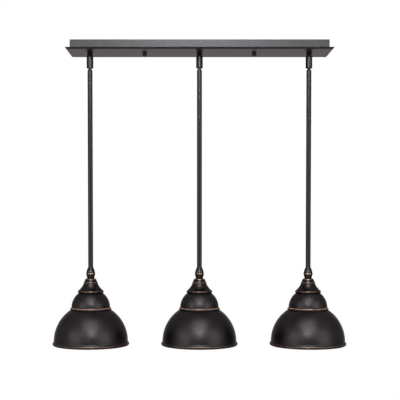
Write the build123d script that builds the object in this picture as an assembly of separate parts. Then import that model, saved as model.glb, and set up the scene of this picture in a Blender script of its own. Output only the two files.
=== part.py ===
from build123d import *
from math import asin, cos, radians, sin, sqrt
import os

# Linear pendant with three metal shades. Millimetres, +Z up, the ceiling is the plane z = 0,
# X runs along the canopy and the viewer stands on the -Y side.

# ---- driving dimensions ------------------------------------------------------------------

# canopy
PLATE_LENGTH = 609.6
PLATE_DEPTH = 127.0
PLATE_THICKNESS = 4.0
PLATE_LAND = 0.4            # square edge left above the 45 degree bevel
PAN_INSET = 10.0            # how far the pan stands back from the plate's edge
PAN_HEIGHT = 18.4
PAN_WALL = 1.2
PAN_CORNER = 2.0

# mounting strap and its fasteners
STRAP_LENGTH = 282.0
STRAP_WIDTH = 25.0
STRAP_THICKNESS = 2.5
STRAP_JOGGLE = 3.0          # drop of the ends below the middle
STRAP_END = 30.0            # length of each dropped end
JOGGLE_RUN = 5.0
BOX_SCREW_SPACING = 88.9    # outlet box screws
BOX_SLOT_LENGTH = 24.0
BOX_SLOT_WIDTH = 4.6
STUD_SPACING = 254.0
STUD_RADIUS = 2.08
STUD_PROUD = 2.4            # stud above the strap's end
STUD_CLEARANCE = 0.5        # in the pan and the plate
JAM_NUT_FLATS = 8.7
JAM_NUT_HEIGHT = 3.2
COVER_NUT_RADIUS = 5.0
COVER_NUT_HEIGHT = 7.2
COVER_NUT_ROOF = 1.0        # closed end below the stud
COVER_NUT_ROOM = 1.0        # free depth between the stud's end and that roof
COVER_NUT_CHAMFER = 1.0
STUD_CHAMFER = 0.4
GROUND_SCREW_PLACE = 76.0
GROUND_SCREW_RADIUS = 2.4
GROUND_HEAD_RADIUS = 4.6
GROUND_HEAD_HEIGHT = 3.0
GROUND_HEX_FLATS = 6.4
GROUND_WASHER_HEIGHT = 0.8

# swivel
PENDANT_SPACING = 254.0
SHANK_RADIUS = 4.85
SHANK_BORE = 3.2
SHANK_IN_BARREL = 12.0
SHANK_PROUD = 2.0           # shank above its nut
LOCK_WASHER_RADIUS = 8.4
LOCK_WASHER_THICKNESS = 1.2
LOCK_WASHER_GAP = 1.2       # slit of the spring washer
SWIVEL_NUT_FLATS = 14.3
SWIVEL_NUT_HEIGHT = 4.0
BUSHING_RIM = 1.2
BUSHING_SKIRT = 3.0
BUSHING_WALL = 0.7
COLLAR_RADIUS = 6.25
COLLAR_LENGTH = 7.0
BARREL_RADIUS = 7.7
BARREL_LENGTH = 35.1        # with the collar
BARREL_FLARE = 2.2          # height of the slope from collar to barrel
BARREL_CHAMFER = 0.8
PIVOT_HEIGHT = 4.4          # ball centre above the barrel's lower face
BALL_RADIUS = 6.2
BALL_CLEARANCE = 0.08
BALL_HEADROOM = 1.8         # room above the ball inside the barrel
LIP_RADIUS = 5.8            # the swaged lip that the ball sits on
LIP_FLARE_RADIUS = 6.7
PIN_RADIUS = 1.0
SIDE_SWING = 20.0           # degrees that the grooves leave the pins each way
PIN_REACH = 6.8             # outer end of a key pin from the axis
PIN_INNER = 2.6
GROOVE_REACH = 7.0
GROOVE_CLEARANCE = 0.1
STUD_WIRE_BORE = 2.0
NECK_RADIUS = 3.7
NECK_LENGTH = 7.3           # from the ball's centre
STUD_SHOULDER_RADIUS = 4.6
STUD_SHOULDER_DROP = 0.9

# stem, knuckle and nipple
STEM_RADIUS = 5.75
STEM_BORE = 4.7
STEM_LENGTH = 457.2
STEM_DROP = 5.1             # stem's upper end below the barrel
THREAD_RADIUS = 4.65
THREAD_DEPTH = 12.0         # threads inside the stem's ends
KNUCKLE_HEIGHT = 26.2
KNUCKLE_TOP_RADIUS = 6.0
KNUCKLE_RADIUS = 10.9
KNUCKLE_UPPER_ARC = 38.6
KNUCKLE_LOWER_ARC = 45.0
KNUCKLE_RIDGE_DROP = 15.7
KNUCKLE_RIDGE_HEIGHT = 1.8
KNUCKLE_RIDGE_PROUD = 0.35
KNUCKLE_FOOT_RADIUS = 8.4
KNUCKLE_FOOT_BAND = 1.0
NIPPLE_BORE = 3.2
NIPPLE_IN_SOCKET = 9.0
FIT = 0.05                  # radial clearance of smooth parts on a thread
NIPPLE_CLEARANCE = 0.15     # in the knuckle and the cap

# cap
CAP_HEIGHT = 34.0
CAP_WALL = 1.2
CAP_TOP_RADIUS = 12.4
CAP_EDGE = 0.6
CAP_CONE_HEIGHT = 9.0
CAP_CONE_RADIUS = 16.0
CAP_BEAD_HEIGHT = 2.6
CAP_BEAD_RADIUS = 17.1
CAP_BEAD_STEP = 0.4         # the bead's lower end outside its upper end
CAP_WAIST_HEIGHT = 13.0
CAP_WAIST_RADIUS = 17.0
CAP_FLARE_ARC = 45.5
CAP_LIP_RADIUS = 29.1
CAP_FLANGE_HEIGHT = 6.2
CAP_FLANGE_RADIUS = 30.3
CAP_FLANGE_LAND = 0.4       # width of the flange's lower edge
CAP_SEAT_CLEARANCE = 0.2    # between that edge and the dome inside it
CAP_NUT_FLATS = 14.3
CAP_NUT_HEIGHT = 4.0

# socket
SOCKET_BOSS_RADIUS = 9.5
SOCKET_BOSS_HEIGHT = 7.0
SOCKET_HEAD_RADIUS = 15.5
SOCKET_HEAD_HEIGHT = 13.0
SOCKET_SLOPE = 4.0
SOCKET_FLANGE_RADIUS = 22.3
SOCKET_FLANGE_HEIGHT = 4.0
SOCKET_THREAD_RADIUS = 19.8
SOCKET_SKIRT = 35.0         # threaded length below the shade's seat
SOCKET_CHAMFER = 1.0
SOCKET_WIRE_HOLE = 1.2
SHELL_BORE = 13.3           # inside of the screw shell that takes the lamp
SHELL_WALL = 0.6
SHELL_CLEARANCE = 0.1
SHELL_LENGTH = 27.0
SHELL_RECESS = 2.0          # shell above the socket's mouth
SHELL_EYE = 7.0
CONTACT_ROOM = 6.0          # depth of the contact's chamber above the shell
CONTACT_RADIUS = 4.0
CONTACT_THICKNESS = 0.6
CONTACT_WIDTH = 4.0
CONTACT_DROP = 4.5
RING_CLEARANCE = 0.1
RING_FLANGE_RADIUS = 25.0
RING_FLANGE_HEIGHT = 2.5
RING_RADIUS = 23.0
RING_HEIGHT = 9.0
RING_NOTCHES = 8
RING_NOTCH_WIDTH = 4.0
RING_NOTCH_DEPTH = 1.2

# shade
SHADE_WALL = 1.0
SHADE_SEAT_DROP = 32.0      # shade's flat top below the cap's top
FITTER_CLEARANCE = 0.5
SMALL_DOME_ARC = 42.5
SMALL_DOME_RADIUS = 45.1
SMALL_DOME_HEIGHT = 35.6    # from the flat top down to where the wall stands upright
BEAD_RADIUS = 48.1
BEAD_START = 33.0           # heights below the flat top
BEAD_NECK = 36.3
BEAD_NECK_STEP = 1.7        # the bead's neck outside the small dome's widest line
BEAD_FILLET = 3.2
BEAD_MIDDLE = 38.9
BEAD_END = 41.2
BEAD_END_STEP = 0.6         # the bead's lower end inside its widest line
BIG_DOME_HEIGHT = 114.5
RIM_START = 112.5
RIM_NECK = 117.4
RIM_NECK_STEP = 1.2         # the rim's neck inside its widest line
RIM_FILLET = 6.0
RIM_MIDDLE = 120.6
RIM_RADIUS = 89.6
RIM_PROUD = 3.1             # the rim outside the big dome's widest line
RIM_CURL = 3.6

PENDANTS = {"left": -PENDANT_SPACING, "center": 0.0, "right": PENDANT_SPACING}

# ---- heights that follow from them -------------------------------------------------------

PLATE_TOP = -PAN_HEIGHT
PLATE_BOTTOM = PLATE_TOP - PLATE_THICKNESS
PAN_FLOOR = PLATE_TOP + PAN_WALL
SWIVEL_NUT_BOTTOM = PAN_FLOOR + LOCK_WASHER_THICKNESS
SHANK_TOP = SWIVEL_NUT_BOTTOM + SWIVEL_NUT_HEIGHT + SHANK_PROUD
SHANK_BOTTOM = PLATE_BOTTOM - SHANK_IN_BARREL
BARREL_BOTTOM = PLATE_BOTTOM - BARREL_LENGTH
PIVOT = BARREL_BOTTOM + PIVOT_HEIGHT
STEM_TOP = BARREL_BOTTOM - STEM_DROP
STEM_BOTTOM = STEM_TOP - STEM_LENGTH
CAP_TOP = STEM_BOTTOM - KNUCKLE_HEIGHT
CAP_BOTTOM = CAP_TOP - CAP_HEIGHT
SOCKET_TOP = CAP_TOP - CAP_WALL - CAP_NUT_HEIGHT
NIPPLE_BOTTOM = SOCKET_TOP - NIPPLE_IN_SOCKET
SHADE_TOP = CAP_TOP - SHADE_SEAT_DROP
SMALL_DOME_MIDDLE = SHADE_TOP - SMALL_DOME_HEIGHT
BIG_DOME_MIDDLE = SHADE_TOP - BIG_DOME_HEIGHT
SOCKET_BOTTOM = SHADE_TOP - SOCKET_SKIRT
SHELL_BOTTOM = SOCKET_BOTTOM + SHELL_RECESS
SHELL_TOP = SHELL_BOTTOM + SHELL_LENGTH
CONTACT_SEAT = SHELL_TOP + CONTACT_ROOM

# ---- the big dome, whose arc runs from the bead's lower end to its widest line -------------

BIG_DOME_RADIUS = RIM_RADIUS - RIM_PROUD
BIG_DOME_RISE = BIG_DOME_HEIGHT - BEAD_END
BIG_DOME_RUN = BIG_DOME_RADIUS - BEAD_RADIUS + BEAD_END_STEP
BIG_DOME_ARC = (BIG_DOME_RISE**2 + BIG_DOME_RUN**2) / (2 * BIG_DOME_RUN)


# ---- turned outlines ---------------------------------------------------------------------

def at(radius, height):
    """A point of a turned outline, in the plane y = 0."""
    return (radius, 0, height)


def lathe(outline):
    """The solid that a closed outline sweeps about the vertical axis."""
    return revolve(make_face(outline), Axis.Z, 360)


def turned(*points):
    """A solid of revolution with a straight-sided outline through (radius, height) points."""
    return lathe(Polyline(*[at(*point) for point in points], close=True))


def washer(outer, inner, top, bottom):
    """A ring with square edges."""
    return turned((inner, top), (outer, top), (outer, bottom), (inner, bottom))


def rod(radius, top, bottom):
    """A plain round bar on the axis."""
    return turned((0, top), (radius, top), (radius, bottom), (0, bottom))


def circle_radius(reach, middle, arc_radius, height):
    """How far from the axis a circle's outer side lies at a height.

    The circle of arc_radius has its widest point at (reach, middle).
    """
    return reach - arc_radius + sqrt(arc_radius**2 - (height - middle) ** 2)


def small_dome_radius(height):
    """How far from the axis the outside of the small dome lies at a height."""
    return circle_radius(SMALL_DOME_RADIUS, SMALL_DOME_MIDDLE, SMALL_DOME_ARC, height)


def big_dome_radius(height):
    """How far from the axis the outside of the big dome lies at a height."""
    return circle_radius(BIG_DOME_RADIUS, BIG_DOME_MIDDLE, BIG_DOME_ARC, height)


def dome_arc(reach, middle, arc_radius, top, bottom):
    """The arc of that circle between two heights, both on its outer side."""
    start = asin((top - middle) / arc_radius)
    end = asin((bottom - middle) / arc_radius)
    half = (start + end) / 2
    center = reach - arc_radius
    through = at(center + arc_radius * cos(half), middle + arc_radius * sin(half))
    first = at(center + arc_radius * cos(start), top)
    last = at(center + arc_radius * cos(end), bottom)
    return ThreePointArc(first, through, last)


def hollow_arc(first, last, arc_radius):
    """An arc that bends towards the axis between two (radius, height) points."""
    middle_radius = (first[0] + last[0]) / 2
    middle_height = (first[1] + last[1]) / 2
    run = (last[0] - first[0], last[1] - first[1])
    chord = sqrt(run[0] ** 2 + run[1] ** 2)
    sagitta = arc_radius - sqrt(arc_radius**2 - chord**2 / 4)
    through = (middle_radius + run[1] / chord * sagitta, middle_height - run[0] / chord * sagitta)
    return ThreePointArc(at(*first), at(*through), at(*last))


def round_arc(first, last, arc_radius):
    """An arc that bulges away from the axis between two (radius, height) points."""
    middle_radius = (first[0] + last[0]) / 2
    middle_height = (first[1] + last[1]) / 2
    run = (last[0] - first[0], last[1] - first[1])
    chord = sqrt(run[0] ** 2 + run[1] ** 2)
    sagitta = arc_radius - sqrt(arc_radius**2 - chord**2 / 4)
    through = (middle_radius - run[1] / chord * sagitta, middle_height + run[0] / chord * sagitta)
    return ThreePointArc(at(*first), at(*through), at(*last))


def hexagon(flats, top, bottom):
    """A hexagonal bar, given its width across flats."""
    section = RegularPolygon(flats / 2, 6, major_radius=False)
    return Pos(0, 0, bottom) * extrude(section, top - bottom)


def hex_nut(flats, bore, top, bottom):
    """A hexagonal nut with a smooth bore and both corners turned off."""
    corner = flats / sqrt(3)
    edge = (corner - flats / 2) / 2
    blank = turned(
        (0, top),
        (flats / 2, top),
        (corner, top - edge),
        (corner, bottom + edge),
        (flats / 2, bottom),
        (0, bottom),
    )
    return (hexagon(flats, top, bottom) & blank) - rod(bore, top, bottom)


def in_pairs(piece, spacing):
    """Two copies of a piece, either side of the middle along X."""
    return Compound([Pos(side * spacing / 2, 0, 0) * piece for side in (-1, 1)])


def under_pendants(piece):
    """One copy of a piece on the axis of each pendant."""
    return Compound([Pos(place, 0, 0) * piece for place in PENDANTS.values()])


# ---- canopy ------------------------------------------------------------------------------

def slab(length, depth, top, bottom):
    """A plain block between two heights."""
    return Pos(0, 0, (top + bottom) / 2) * Box(length, depth, top - bottom)


def canopy_holes():
    """Bars through every hole of the plate and the pan's floor."""
    stud_hole = rod(STUD_RADIUS + STUD_CLEARANCE, 0, PLATE_BOTTOM)
    shank_hole = rod(SHANK_RADIUS + NIPPLE_CLEARANCE, 0, PLATE_BOTTOM)
    return in_pairs(stud_hole, STUD_SPACING), under_pendants(shank_hole)


def face_plate():
    """The wide flat plate, with a 45 degree bevel all round its lower edge."""
    drop = PLATE_THICKNESS - PLATE_LAND
    upper = Rectangle(PLATE_LENGTH, PLATE_DEPTH)
    lower = Rectangle(PLATE_LENGTH - 2 * drop, PLATE_DEPTH - 2 * drop)
    bevel = loft([Pos(0, 0, PLATE_BOTTOM) * lower, Pos(0, 0, PLATE_TOP - PLATE_LAND) * upper])
    plate = bevel + slab(PLATE_LENGTH, PLATE_DEPTH, PLATE_TOP, PLATE_TOP - PLATE_LAND)
    for holes in canopy_holes():
        plate -= holes
    return plate


def canopy_pan():
    """The folded tray above the plate: four walls and a floor, open to the ceiling."""
    length = PLATE_LENGTH - 2 * PAN_INSET
    depth = PLATE_DEPTH - 2 * PAN_INSET
    outside = RectangleRounded(length, depth, PAN_CORNER)
    inside = RectangleRounded(length - 2 * PAN_WALL, depth - 2 * PAN_WALL, PAN_CORNER - PAN_WALL)
    tray = Pos(0, 0, PLATE_TOP) * extrude(outside, PAN_HEIGHT)
    tray -= Pos(0, 0, PAN_FLOOR) * extrude(inside, PAN_HEIGHT - PAN_WALL)
    for holes in canopy_holes():
        tray -= holes
    return tray


def strap_outline():
    """Side view of the strap: flat in the middle, with both ends joggled down."""
    half = STRAP_LENGTH / 2
    outer = half - STRAP_END
    inner = outer - JOGGLE_RUN
    upper = [
        (-half, -STRAP_JOGGLE),
        (-outer, -STRAP_JOGGLE),
        (-inner, 0),
        (inner, 0),
        (outer, -STRAP_JOGGLE),
        (half, -STRAP_JOGGLE),
    ]
    lower = [(x, z - STRAP_THICKNESS) for x, z in reversed(upper)]
    return Polyline(*[at(x, z) for x, z in upper + lower], close=True)


def mounting_strap():
    """The bar on the outlet box, with two slots for box screws and tapped holes."""
    bar = extrude(make_face(strap_outline()), STRAP_WIDTH / 2, both=True)
    slot = SlotOverall(BOX_SLOT_LENGTH, BOX_SLOT_WIDTH)
    bar -= in_pairs(Pos(0, 0, -STRAP_THICKNESS) * extrude(slot, STRAP_THICKNESS), BOX_SCREW_SPACING)
    low = -STRAP_JOGGLE - STRAP_THICKNESS
    bar -= in_pairs(rod(STUD_RADIUS + FIT, 0, low), STUD_SPACING)
    ground_hole = rod(GROUND_SCREW_RADIUS + FIT, 0, -STRAP_THICKNESS)
    return bar - Pos(GROUND_SCREW_PLACE, 0, 0) * ground_hole


def strap_studs():
    """The two threaded studs that the canopy hangs on."""
    top = STUD_PROUD - STRAP_JOGGLE
    bottom = PLATE_BOTTOM - COVER_NUT_HEIGHT + COVER_NUT_ROOF + COVER_NUT_ROOM
    return in_pairs(chamfer(rod(STUD_RADIUS, top, bottom).edges(), STUD_CHAMFER), STUD_SPACING)


def stud_jam_nuts():
    """The nuts that lock the studs under the strap."""
    top = -STRAP_JOGGLE - STRAP_THICKNESS
    return in_pairs(hex_nut(JAM_NUT_FLATS, STUD_RADIUS + FIT, top, top - JAM_NUT_HEIGHT), STUD_SPACING)


def cover_nuts():
    """The two blind thumb nuts under the plate."""
    bottom = PLATE_BOTTOM - COVER_NUT_HEIGHT
    shoulder = COVER_NUT_RADIUS - COVER_NUT_CHAMFER
    nut = turned(
        (0, PLATE_BOTTOM),
        (shoulder, PLATE_BOTTOM),
        (COVER_NUT_RADIUS, PLATE_BOTTOM - COVER_NUT_CHAMFER),
        (COVER_NUT_RADIUS, bottom + COVER_NUT_CHAMFER),
        (shoulder, bottom),
        (0, bottom),
    )
    nut -= rod(STUD_RADIUS + FIT, PLATE_BOTTOM, bottom + COVER_NUT_ROOF)
    return in_pairs(nut, STUD_SPACING)


def ground_screw():
    """The washer-head screw for the earth wire, in the strap."""
    seat = -STRAP_THICKNESS
    washer_bottom = seat - GROUND_WASHER_HEIGHT
    screw = rod(GROUND_SCREW_RADIUS, -FIT, seat)
    screw += rod(GROUND_HEAD_RADIUS, seat, washer_bottom)
    screw += hexagon(GROUND_HEX_FLATS, washer_bottom, seat - GROUND_HEAD_HEIGHT)
    return Pos(GROUND_SCREW_PLACE, 0, 0) * screw


# ---- swivel ------------------------------------------------------------------------------

def shank():
    """The hollow threaded shank through pan and plate into the barrel."""
    return washer(SHANK_RADIUS, SHANK_BORE, SHANK_TOP, SHANK_BOTTOM)


def swivel_lock_washer():
    """A split spring washer on the pan's floor."""
    ring = washer(LOCK_WASHER_RADIUS, SHANK_RADIUS + NIPPLE_CLEARANCE, SWIVEL_NUT_BOTTOM, PAN_FLOOR)
    slit = slab(LOCK_WASHER_RADIUS, LOCK_WASHER_GAP, SWIVEL_NUT_BOTTOM, PAN_FLOOR)
    return ring - Pos(LOCK_WASHER_RADIUS / 2, 0, 0) * slit


def swivel_nut():
    """The hexagonal nut that draws the barrel up to the plate."""
    top = SWIVEL_NUT_BOTTOM + SWIVEL_NUT_HEIGHT
    return hex_nut(SWIVEL_NUT_FLATS, SHANK_RADIUS + FIT, top, SWIVEL_NUT_BOTTOM)


def wire_bushing():
    """The plastic bushing that guards the wires at the shank's upper end."""
    skirt = SHANK_BORE - FIT
    bore = skirt - BUSHING_WALL
    return turned(
        (bore, SHANK_TOP + BUSHING_RIM),
        (SHANK_RADIUS - BUSHING_WALL, SHANK_TOP + BUSHING_RIM),
        (SHANK_RADIUS, SHANK_TOP + BUSHING_RIM - BUSHING_WALL),
        (SHANK_RADIUS, SHANK_TOP),
        (skirt, SHANK_TOP),
        (skirt, SHANK_TOP - BUSHING_SKIRT),
        (bore, SHANK_TOP - BUSHING_SKIRT),
    )


def swivel_barrel():
    """The turned barrel: a collar, a slope to the full width, and the swaged lip for the ball."""
    flare_top = PLATE_BOTTOM - COLLAR_LENGTH
    body = turned(
        (0, PLATE_BOTTOM),
        (COLLAR_RADIUS, PLATE_BOTTOM),
        (COLLAR_RADIUS, flare_top),
        (BARREL_RADIUS, flare_top - BARREL_FLARE),
        (BARREL_RADIUS, BARREL_BOTTOM + BARREL_CHAMFER),
        (BARREL_RADIUS - BARREL_CHAMFER, BARREL_BOTTOM),
        (0, BARREL_BOTTOM),
    )
    seat = BALL_RADIUS + BALL_CLEARANCE
    chamber_top = PIVOT + BALL_RADIUS + BALL_HEADROOM
    body -= rod(SHANK_RADIUS + FIT, PLATE_BOTTOM, SHANK_BOTTOM)
    body -= rod(SHANK_BORE, SHANK_BOTTOM, chamber_top)
    body -= rod(seat, chamber_top, PIVOT)
    body -= Pos(0, 0, PIVOT) * Sphere(seat)
    lip_top = PIVOT - sqrt(seat**2 - LIP_RADIUS**2)
    body -= turned(
        (0, lip_top),
        (LIP_RADIUS, lip_top),
        (LIP_FLARE_RADIUS, BARREL_BOTTOM),
        (0, BARREL_BOTTOM),
    )
    return body - key_grooves(chamber_top)


def key_grooves(chamber_top):
    """The two upright grooves inside the barrel that the key pins ride in."""
    half_width = PIN_RADIUS + GROOVE_CLEARANCE
    lowest = PIVOT - GROOVE_REACH * sin(radians(SIDE_SWING)) - half_width
    slot = slab(2 * BARREL_RADIUS, 2 * half_width, chamber_top, lowest)
    return slot & rod(GROOVE_REACH, chamber_top, lowest)


def key_pins():
    """Two short dowels in the ball, on one line along X through its centre."""
    pin = Rot(0, 90, 0) * Cylinder(PIN_RADIUS, PIN_REACH - PIN_INNER)
    middle = (PIN_REACH + PIN_INNER) / 2
    return Pos(0, 0, PIVOT) * in_pairs(pin, 2 * middle)


def ball_stud():
    """The hollow ball with its neck, shoulder and the thread that goes into the stem."""
    neck_end = PIVOT - NECK_LENGTH
    shoulder = neck_end - STUD_SHOULDER_DROP
    stud = Pos(0, 0, PIVOT) * Sphere(BALL_RADIUS)
    stud += turned(
        (0, PIVOT),
        (NECK_RADIUS, PIVOT),
        (NECK_RADIUS, neck_end),
        (STUD_SHOULDER_RADIUS, shoulder),
        (STEM_RADIUS, STEM_TOP),
        (THREAD_RADIUS, STEM_TOP),
        (THREAD_RADIUS, STEM_TOP - THREAD_DEPTH),
        (0, STEM_TOP - THREAD_DEPTH),
    )
    stud -= rod(STUD_WIRE_BORE, PIVOT + BALL_RADIUS, STEM_TOP - THREAD_DEPTH)
    depth = BALL_RADIUS - PIN_INNER + FIT
    hole = Rot(0, 90, 0) * Cylinder(PIN_RADIUS + FIT, depth)
    holes = in_pairs(hole, 2 * (BALL_RADIUS - depth / 2))
    return stud - Pos(0, 0, PIVOT) * holes


# ---- stem, knuckle and cap ---------------------------------------------------------------

def stem():
    """The straight rigid tube."""
    return washer(STEM_RADIUS, STEM_BORE, STEM_TOP, STEM_BOTTOM)


def knuckle():
    """The egg-shaped coupling, with a narrow ridge round its widest line."""
    bore = THREAD_RADIUS + NIPPLE_CLEARANCE
    ridge = STEM_BOTTOM - KNUCKLE_RIDGE_DROP
    foot = CAP_TOP + KNUCKLE_FOOT_BAND
    upper_end = (KNUCKLE_RADIUS - KNUCKLE_RIDGE_PROUD, ridge + KNUCKLE_RIDGE_HEIGHT / 2)
    lower_start = (KNUCKLE_RADIUS - KNUCKLE_RIDGE_PROUD, ridge - KNUCKLE_RIDGE_HEIGHT / 2)
    outline = [
        Line(at(bore, STEM_BOTTOM), at(KNUCKLE_TOP_RADIUS, STEM_BOTTOM)),
        round_arc((KNUCKLE_TOP_RADIUS, STEM_BOTTOM), upper_end, KNUCKLE_UPPER_ARC),
        ThreePointArc(at(*upper_end), at(KNUCKLE_RADIUS, ridge), at(*lower_start)),
        hollow_arc(lower_start, (KNUCKLE_FOOT_RADIUS, foot), KNUCKLE_LOWER_ARC),
        Polyline(at(KNUCKLE_FOOT_RADIUS, foot), at(KNUCKLE_FOOT_RADIUS, CAP_TOP), at(bore, CAP_TOP)),
        Line(at(bore, CAP_TOP), at(bore, STEM_BOTTOM)),
    ]
    return lathe(outline)


def cap_nipple():
    """The threaded tube that ties stem, knuckle, cap and socket together."""
    return washer(THREAD_RADIUS, NIPPLE_BORE, STEM_BOTTOM + THREAD_DEPTH, NIPPLE_BOTTOM)


def cap():
    """The stepped cap: a cone, a bead, a waist and a trumpet flare that ends in a flange."""
    bore = THREAD_RADIUS + NIPPLE_CLEARANCE
    cone_end = CAP_TOP - CAP_CONE_HEIGHT
    waist = CAP_TOP - CAP_WAIST_HEIGHT
    flange_top = CAP_BOTTOM + CAP_FLANGE_HEIGHT
    bead_start = (CAP_CONE_RADIUS, cone_end)
    bead_end = (CAP_CONE_RADIUS + CAP_BEAD_STEP, cone_end - CAP_BEAD_HEIGHT)
    lip = (CAP_LIP_RADIUS, flange_top)
    flange_middle = (flange_top + CAP_BOTTOM) / 2
    edge_inside = small_dome_radius(CAP_BOTTOM) + CAP_SEAT_CLEARANCE
    edge_outside = edge_inside + CAP_FLANGE_LAND
    outside = [
        Polyline(
            at(0, CAP_TOP),
            at(CAP_TOP_RADIUS - CAP_EDGE, CAP_TOP),
            at(CAP_TOP_RADIUS, CAP_TOP - CAP_EDGE),
            at(*bead_start),
        ),
        ThreePointArc(at(*bead_start), at(CAP_BEAD_RADIUS, cone_end - CAP_BEAD_HEIGHT / 2), at(*bead_end)),
        Line(at(*bead_end), at(CAP_WAIST_RADIUS, waist)),
        hollow_arc((CAP_WAIST_RADIUS, waist), lip, CAP_FLARE_ARC),
        ThreePointArc(at(*lip), at(CAP_FLANGE_RADIUS, flange_middle), at(edge_outside, CAP_BOTTOM)),
        Polyline(at(edge_outside, CAP_BOTTOM), at(0, CAP_BOTTOM), at(0, CAP_TOP)),
    ]
    inside_lip = (CAP_LIP_RADIUS - CAP_WALL, flange_top - CAP_WALL)
    inside_waist = (CAP_WAIST_RADIUS - CAP_WALL, waist)
    inside = [
        Polyline(
            at(0, CAP_TOP - CAP_WALL),
            at(CAP_TOP_RADIUS - CAP_WALL, CAP_TOP - CAP_WALL),
            at(*inside_waist),
        ),
        hollow_arc(inside_waist, inside_lip, CAP_FLARE_ARC),
        Polyline(at(*inside_lip), at(edge_inside, CAP_BOTTOM), at(0, CAP_BOTTOM), at(0, CAP_TOP - CAP_WALL)),
    ]
    return lathe(outside) - lathe(inside) - rod(bore, CAP_TOP, CAP_TOP - CAP_WALL)


def cap_lock_nut():
    """The nut that clamps the cap against the knuckle."""
    top = CAP_TOP - CAP_WALL
    return hex_nut(CAP_NUT_FLATS, THREAD_RADIUS + FIT, top, SOCKET_TOP)


# ---- lampholder --------------------------------------------------------------------------

def socket_body():
    """The porcelain socket: boss, head, a flange on the shade's top and a threaded skirt."""
    head_top = SOCKET_TOP - SOCKET_BOSS_HEIGHT
    head_bottom = head_top - SOCKET_HEAD_HEIGHT
    flange_top = SHADE_TOP + SOCKET_FLANGE_HEIGHT
    body = turned(
        (0, SOCKET_TOP),
        (SOCKET_BOSS_RADIUS, SOCKET_TOP),
        (SOCKET_BOSS_RADIUS, head_top),
        (SOCKET_HEAD_RADIUS, head_top - SOCKET_SLOPE),
        (SOCKET_HEAD_RADIUS, head_bottom),
        (SOCKET_FLANGE_RADIUS, flange_top),
        (SOCKET_FLANGE_RADIUS, SHADE_TOP),
        (SOCKET_THREAD_RADIUS, SHADE_TOP),
        (SOCKET_THREAD_RADIUS, SOCKET_BOTTOM + SOCKET_CHAMFER),
        (SOCKET_THREAD_RADIUS - SOCKET_CHAMFER, SOCKET_BOTTOM),
        (0, SOCKET_BOTTOM),
    )
    body -= rod(THREAD_RADIUS + FIT, SOCKET_TOP, NIPPLE_BOTTOM)
    body -= rod(SHELL_BORE + SHELL_WALL + SHELL_CLEARANCE, SHELL_TOP, SOCKET_BOTTOM)
    body -= rod(SHELL_EYE, CONTACT_SEAT, SHELL_TOP)
    wire_hole = rod(SOCKET_WIRE_HOLE, NIPPLE_BOTTOM, CONTACT_SEAT)
    return body - in_pairs(wire_hole, 2 * (NIPPLE_BORE - SOCKET_WIRE_HOLE))


def screw_shell():
    """The brass shell that the lamp screws into, with an eye in its upper end."""
    outer = SHELL_BORE + SHELL_WALL
    return turned(
        (SHELL_EYE, SHELL_TOP),
        (outer, SHELL_TOP),
        (outer, SHELL_BOTTOM),
        (SHELL_BORE, SHELL_BOTTOM),
        (SHELL_BORE, SHELL_TOP - SHELL_WALL),
        (SHELL_EYE, SHELL_TOP - SHELL_WALL),
    )


def center_contact():
    """The brass disc and its bent leaf in the chamber above the shell."""
    base = rod(CONTACT_RADIUS, CONTACT_SEAT, CONTACT_SEAT - CONTACT_THICKNESS)
    root = at(CONTACT_RADIUS - CONTACT_THICKNESS, CONTACT_SEAT - CONTACT_THICKNESS / 2)
    bend = at(CONTACT_RADIUS + CONTACT_THICKNESS, CONTACT_SEAT - CONTACT_DROP / 2)
    tip = at(-CONTACT_RADIUS / 2, CONTACT_SEAT - CONTACT_DROP)
    spine = Polyline(root, bend, tip)
    strip = trace(Plane.XZ.to_local_coords(spine), CONTACT_THICKNESS)
    leaf = extrude(Plane.XZ * strip, CONTACT_WIDTH / 2, both=True)
    return base + leaf


def shade_ring():
    """The notched ring that clamps the shade on the socket's thread."""
    top = SHADE_TOP - SHADE_WALL
    bore = SOCKET_THREAD_RADIUS + RING_CLEARANCE
    flange_bottom = top - RING_FLANGE_HEIGHT
    bottom = top - RING_HEIGHT
    ring = turned(
        (bore, top),
        (RING_FLANGE_RADIUS, top),
        (RING_FLANGE_RADIUS, flange_bottom),
        (RING_RADIUS, flange_bottom),
        (RING_RADIUS, bottom),
        (bore, bottom),
    )
    notch = slab(2 * RING_NOTCH_DEPTH, RING_NOTCH_WIDTH, flange_bottom, bottom)
    return ring - PolarLocations(RING_RADIUS, RING_NOTCHES) * notch


# ---- shade -------------------------------------------------------------------------------

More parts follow.
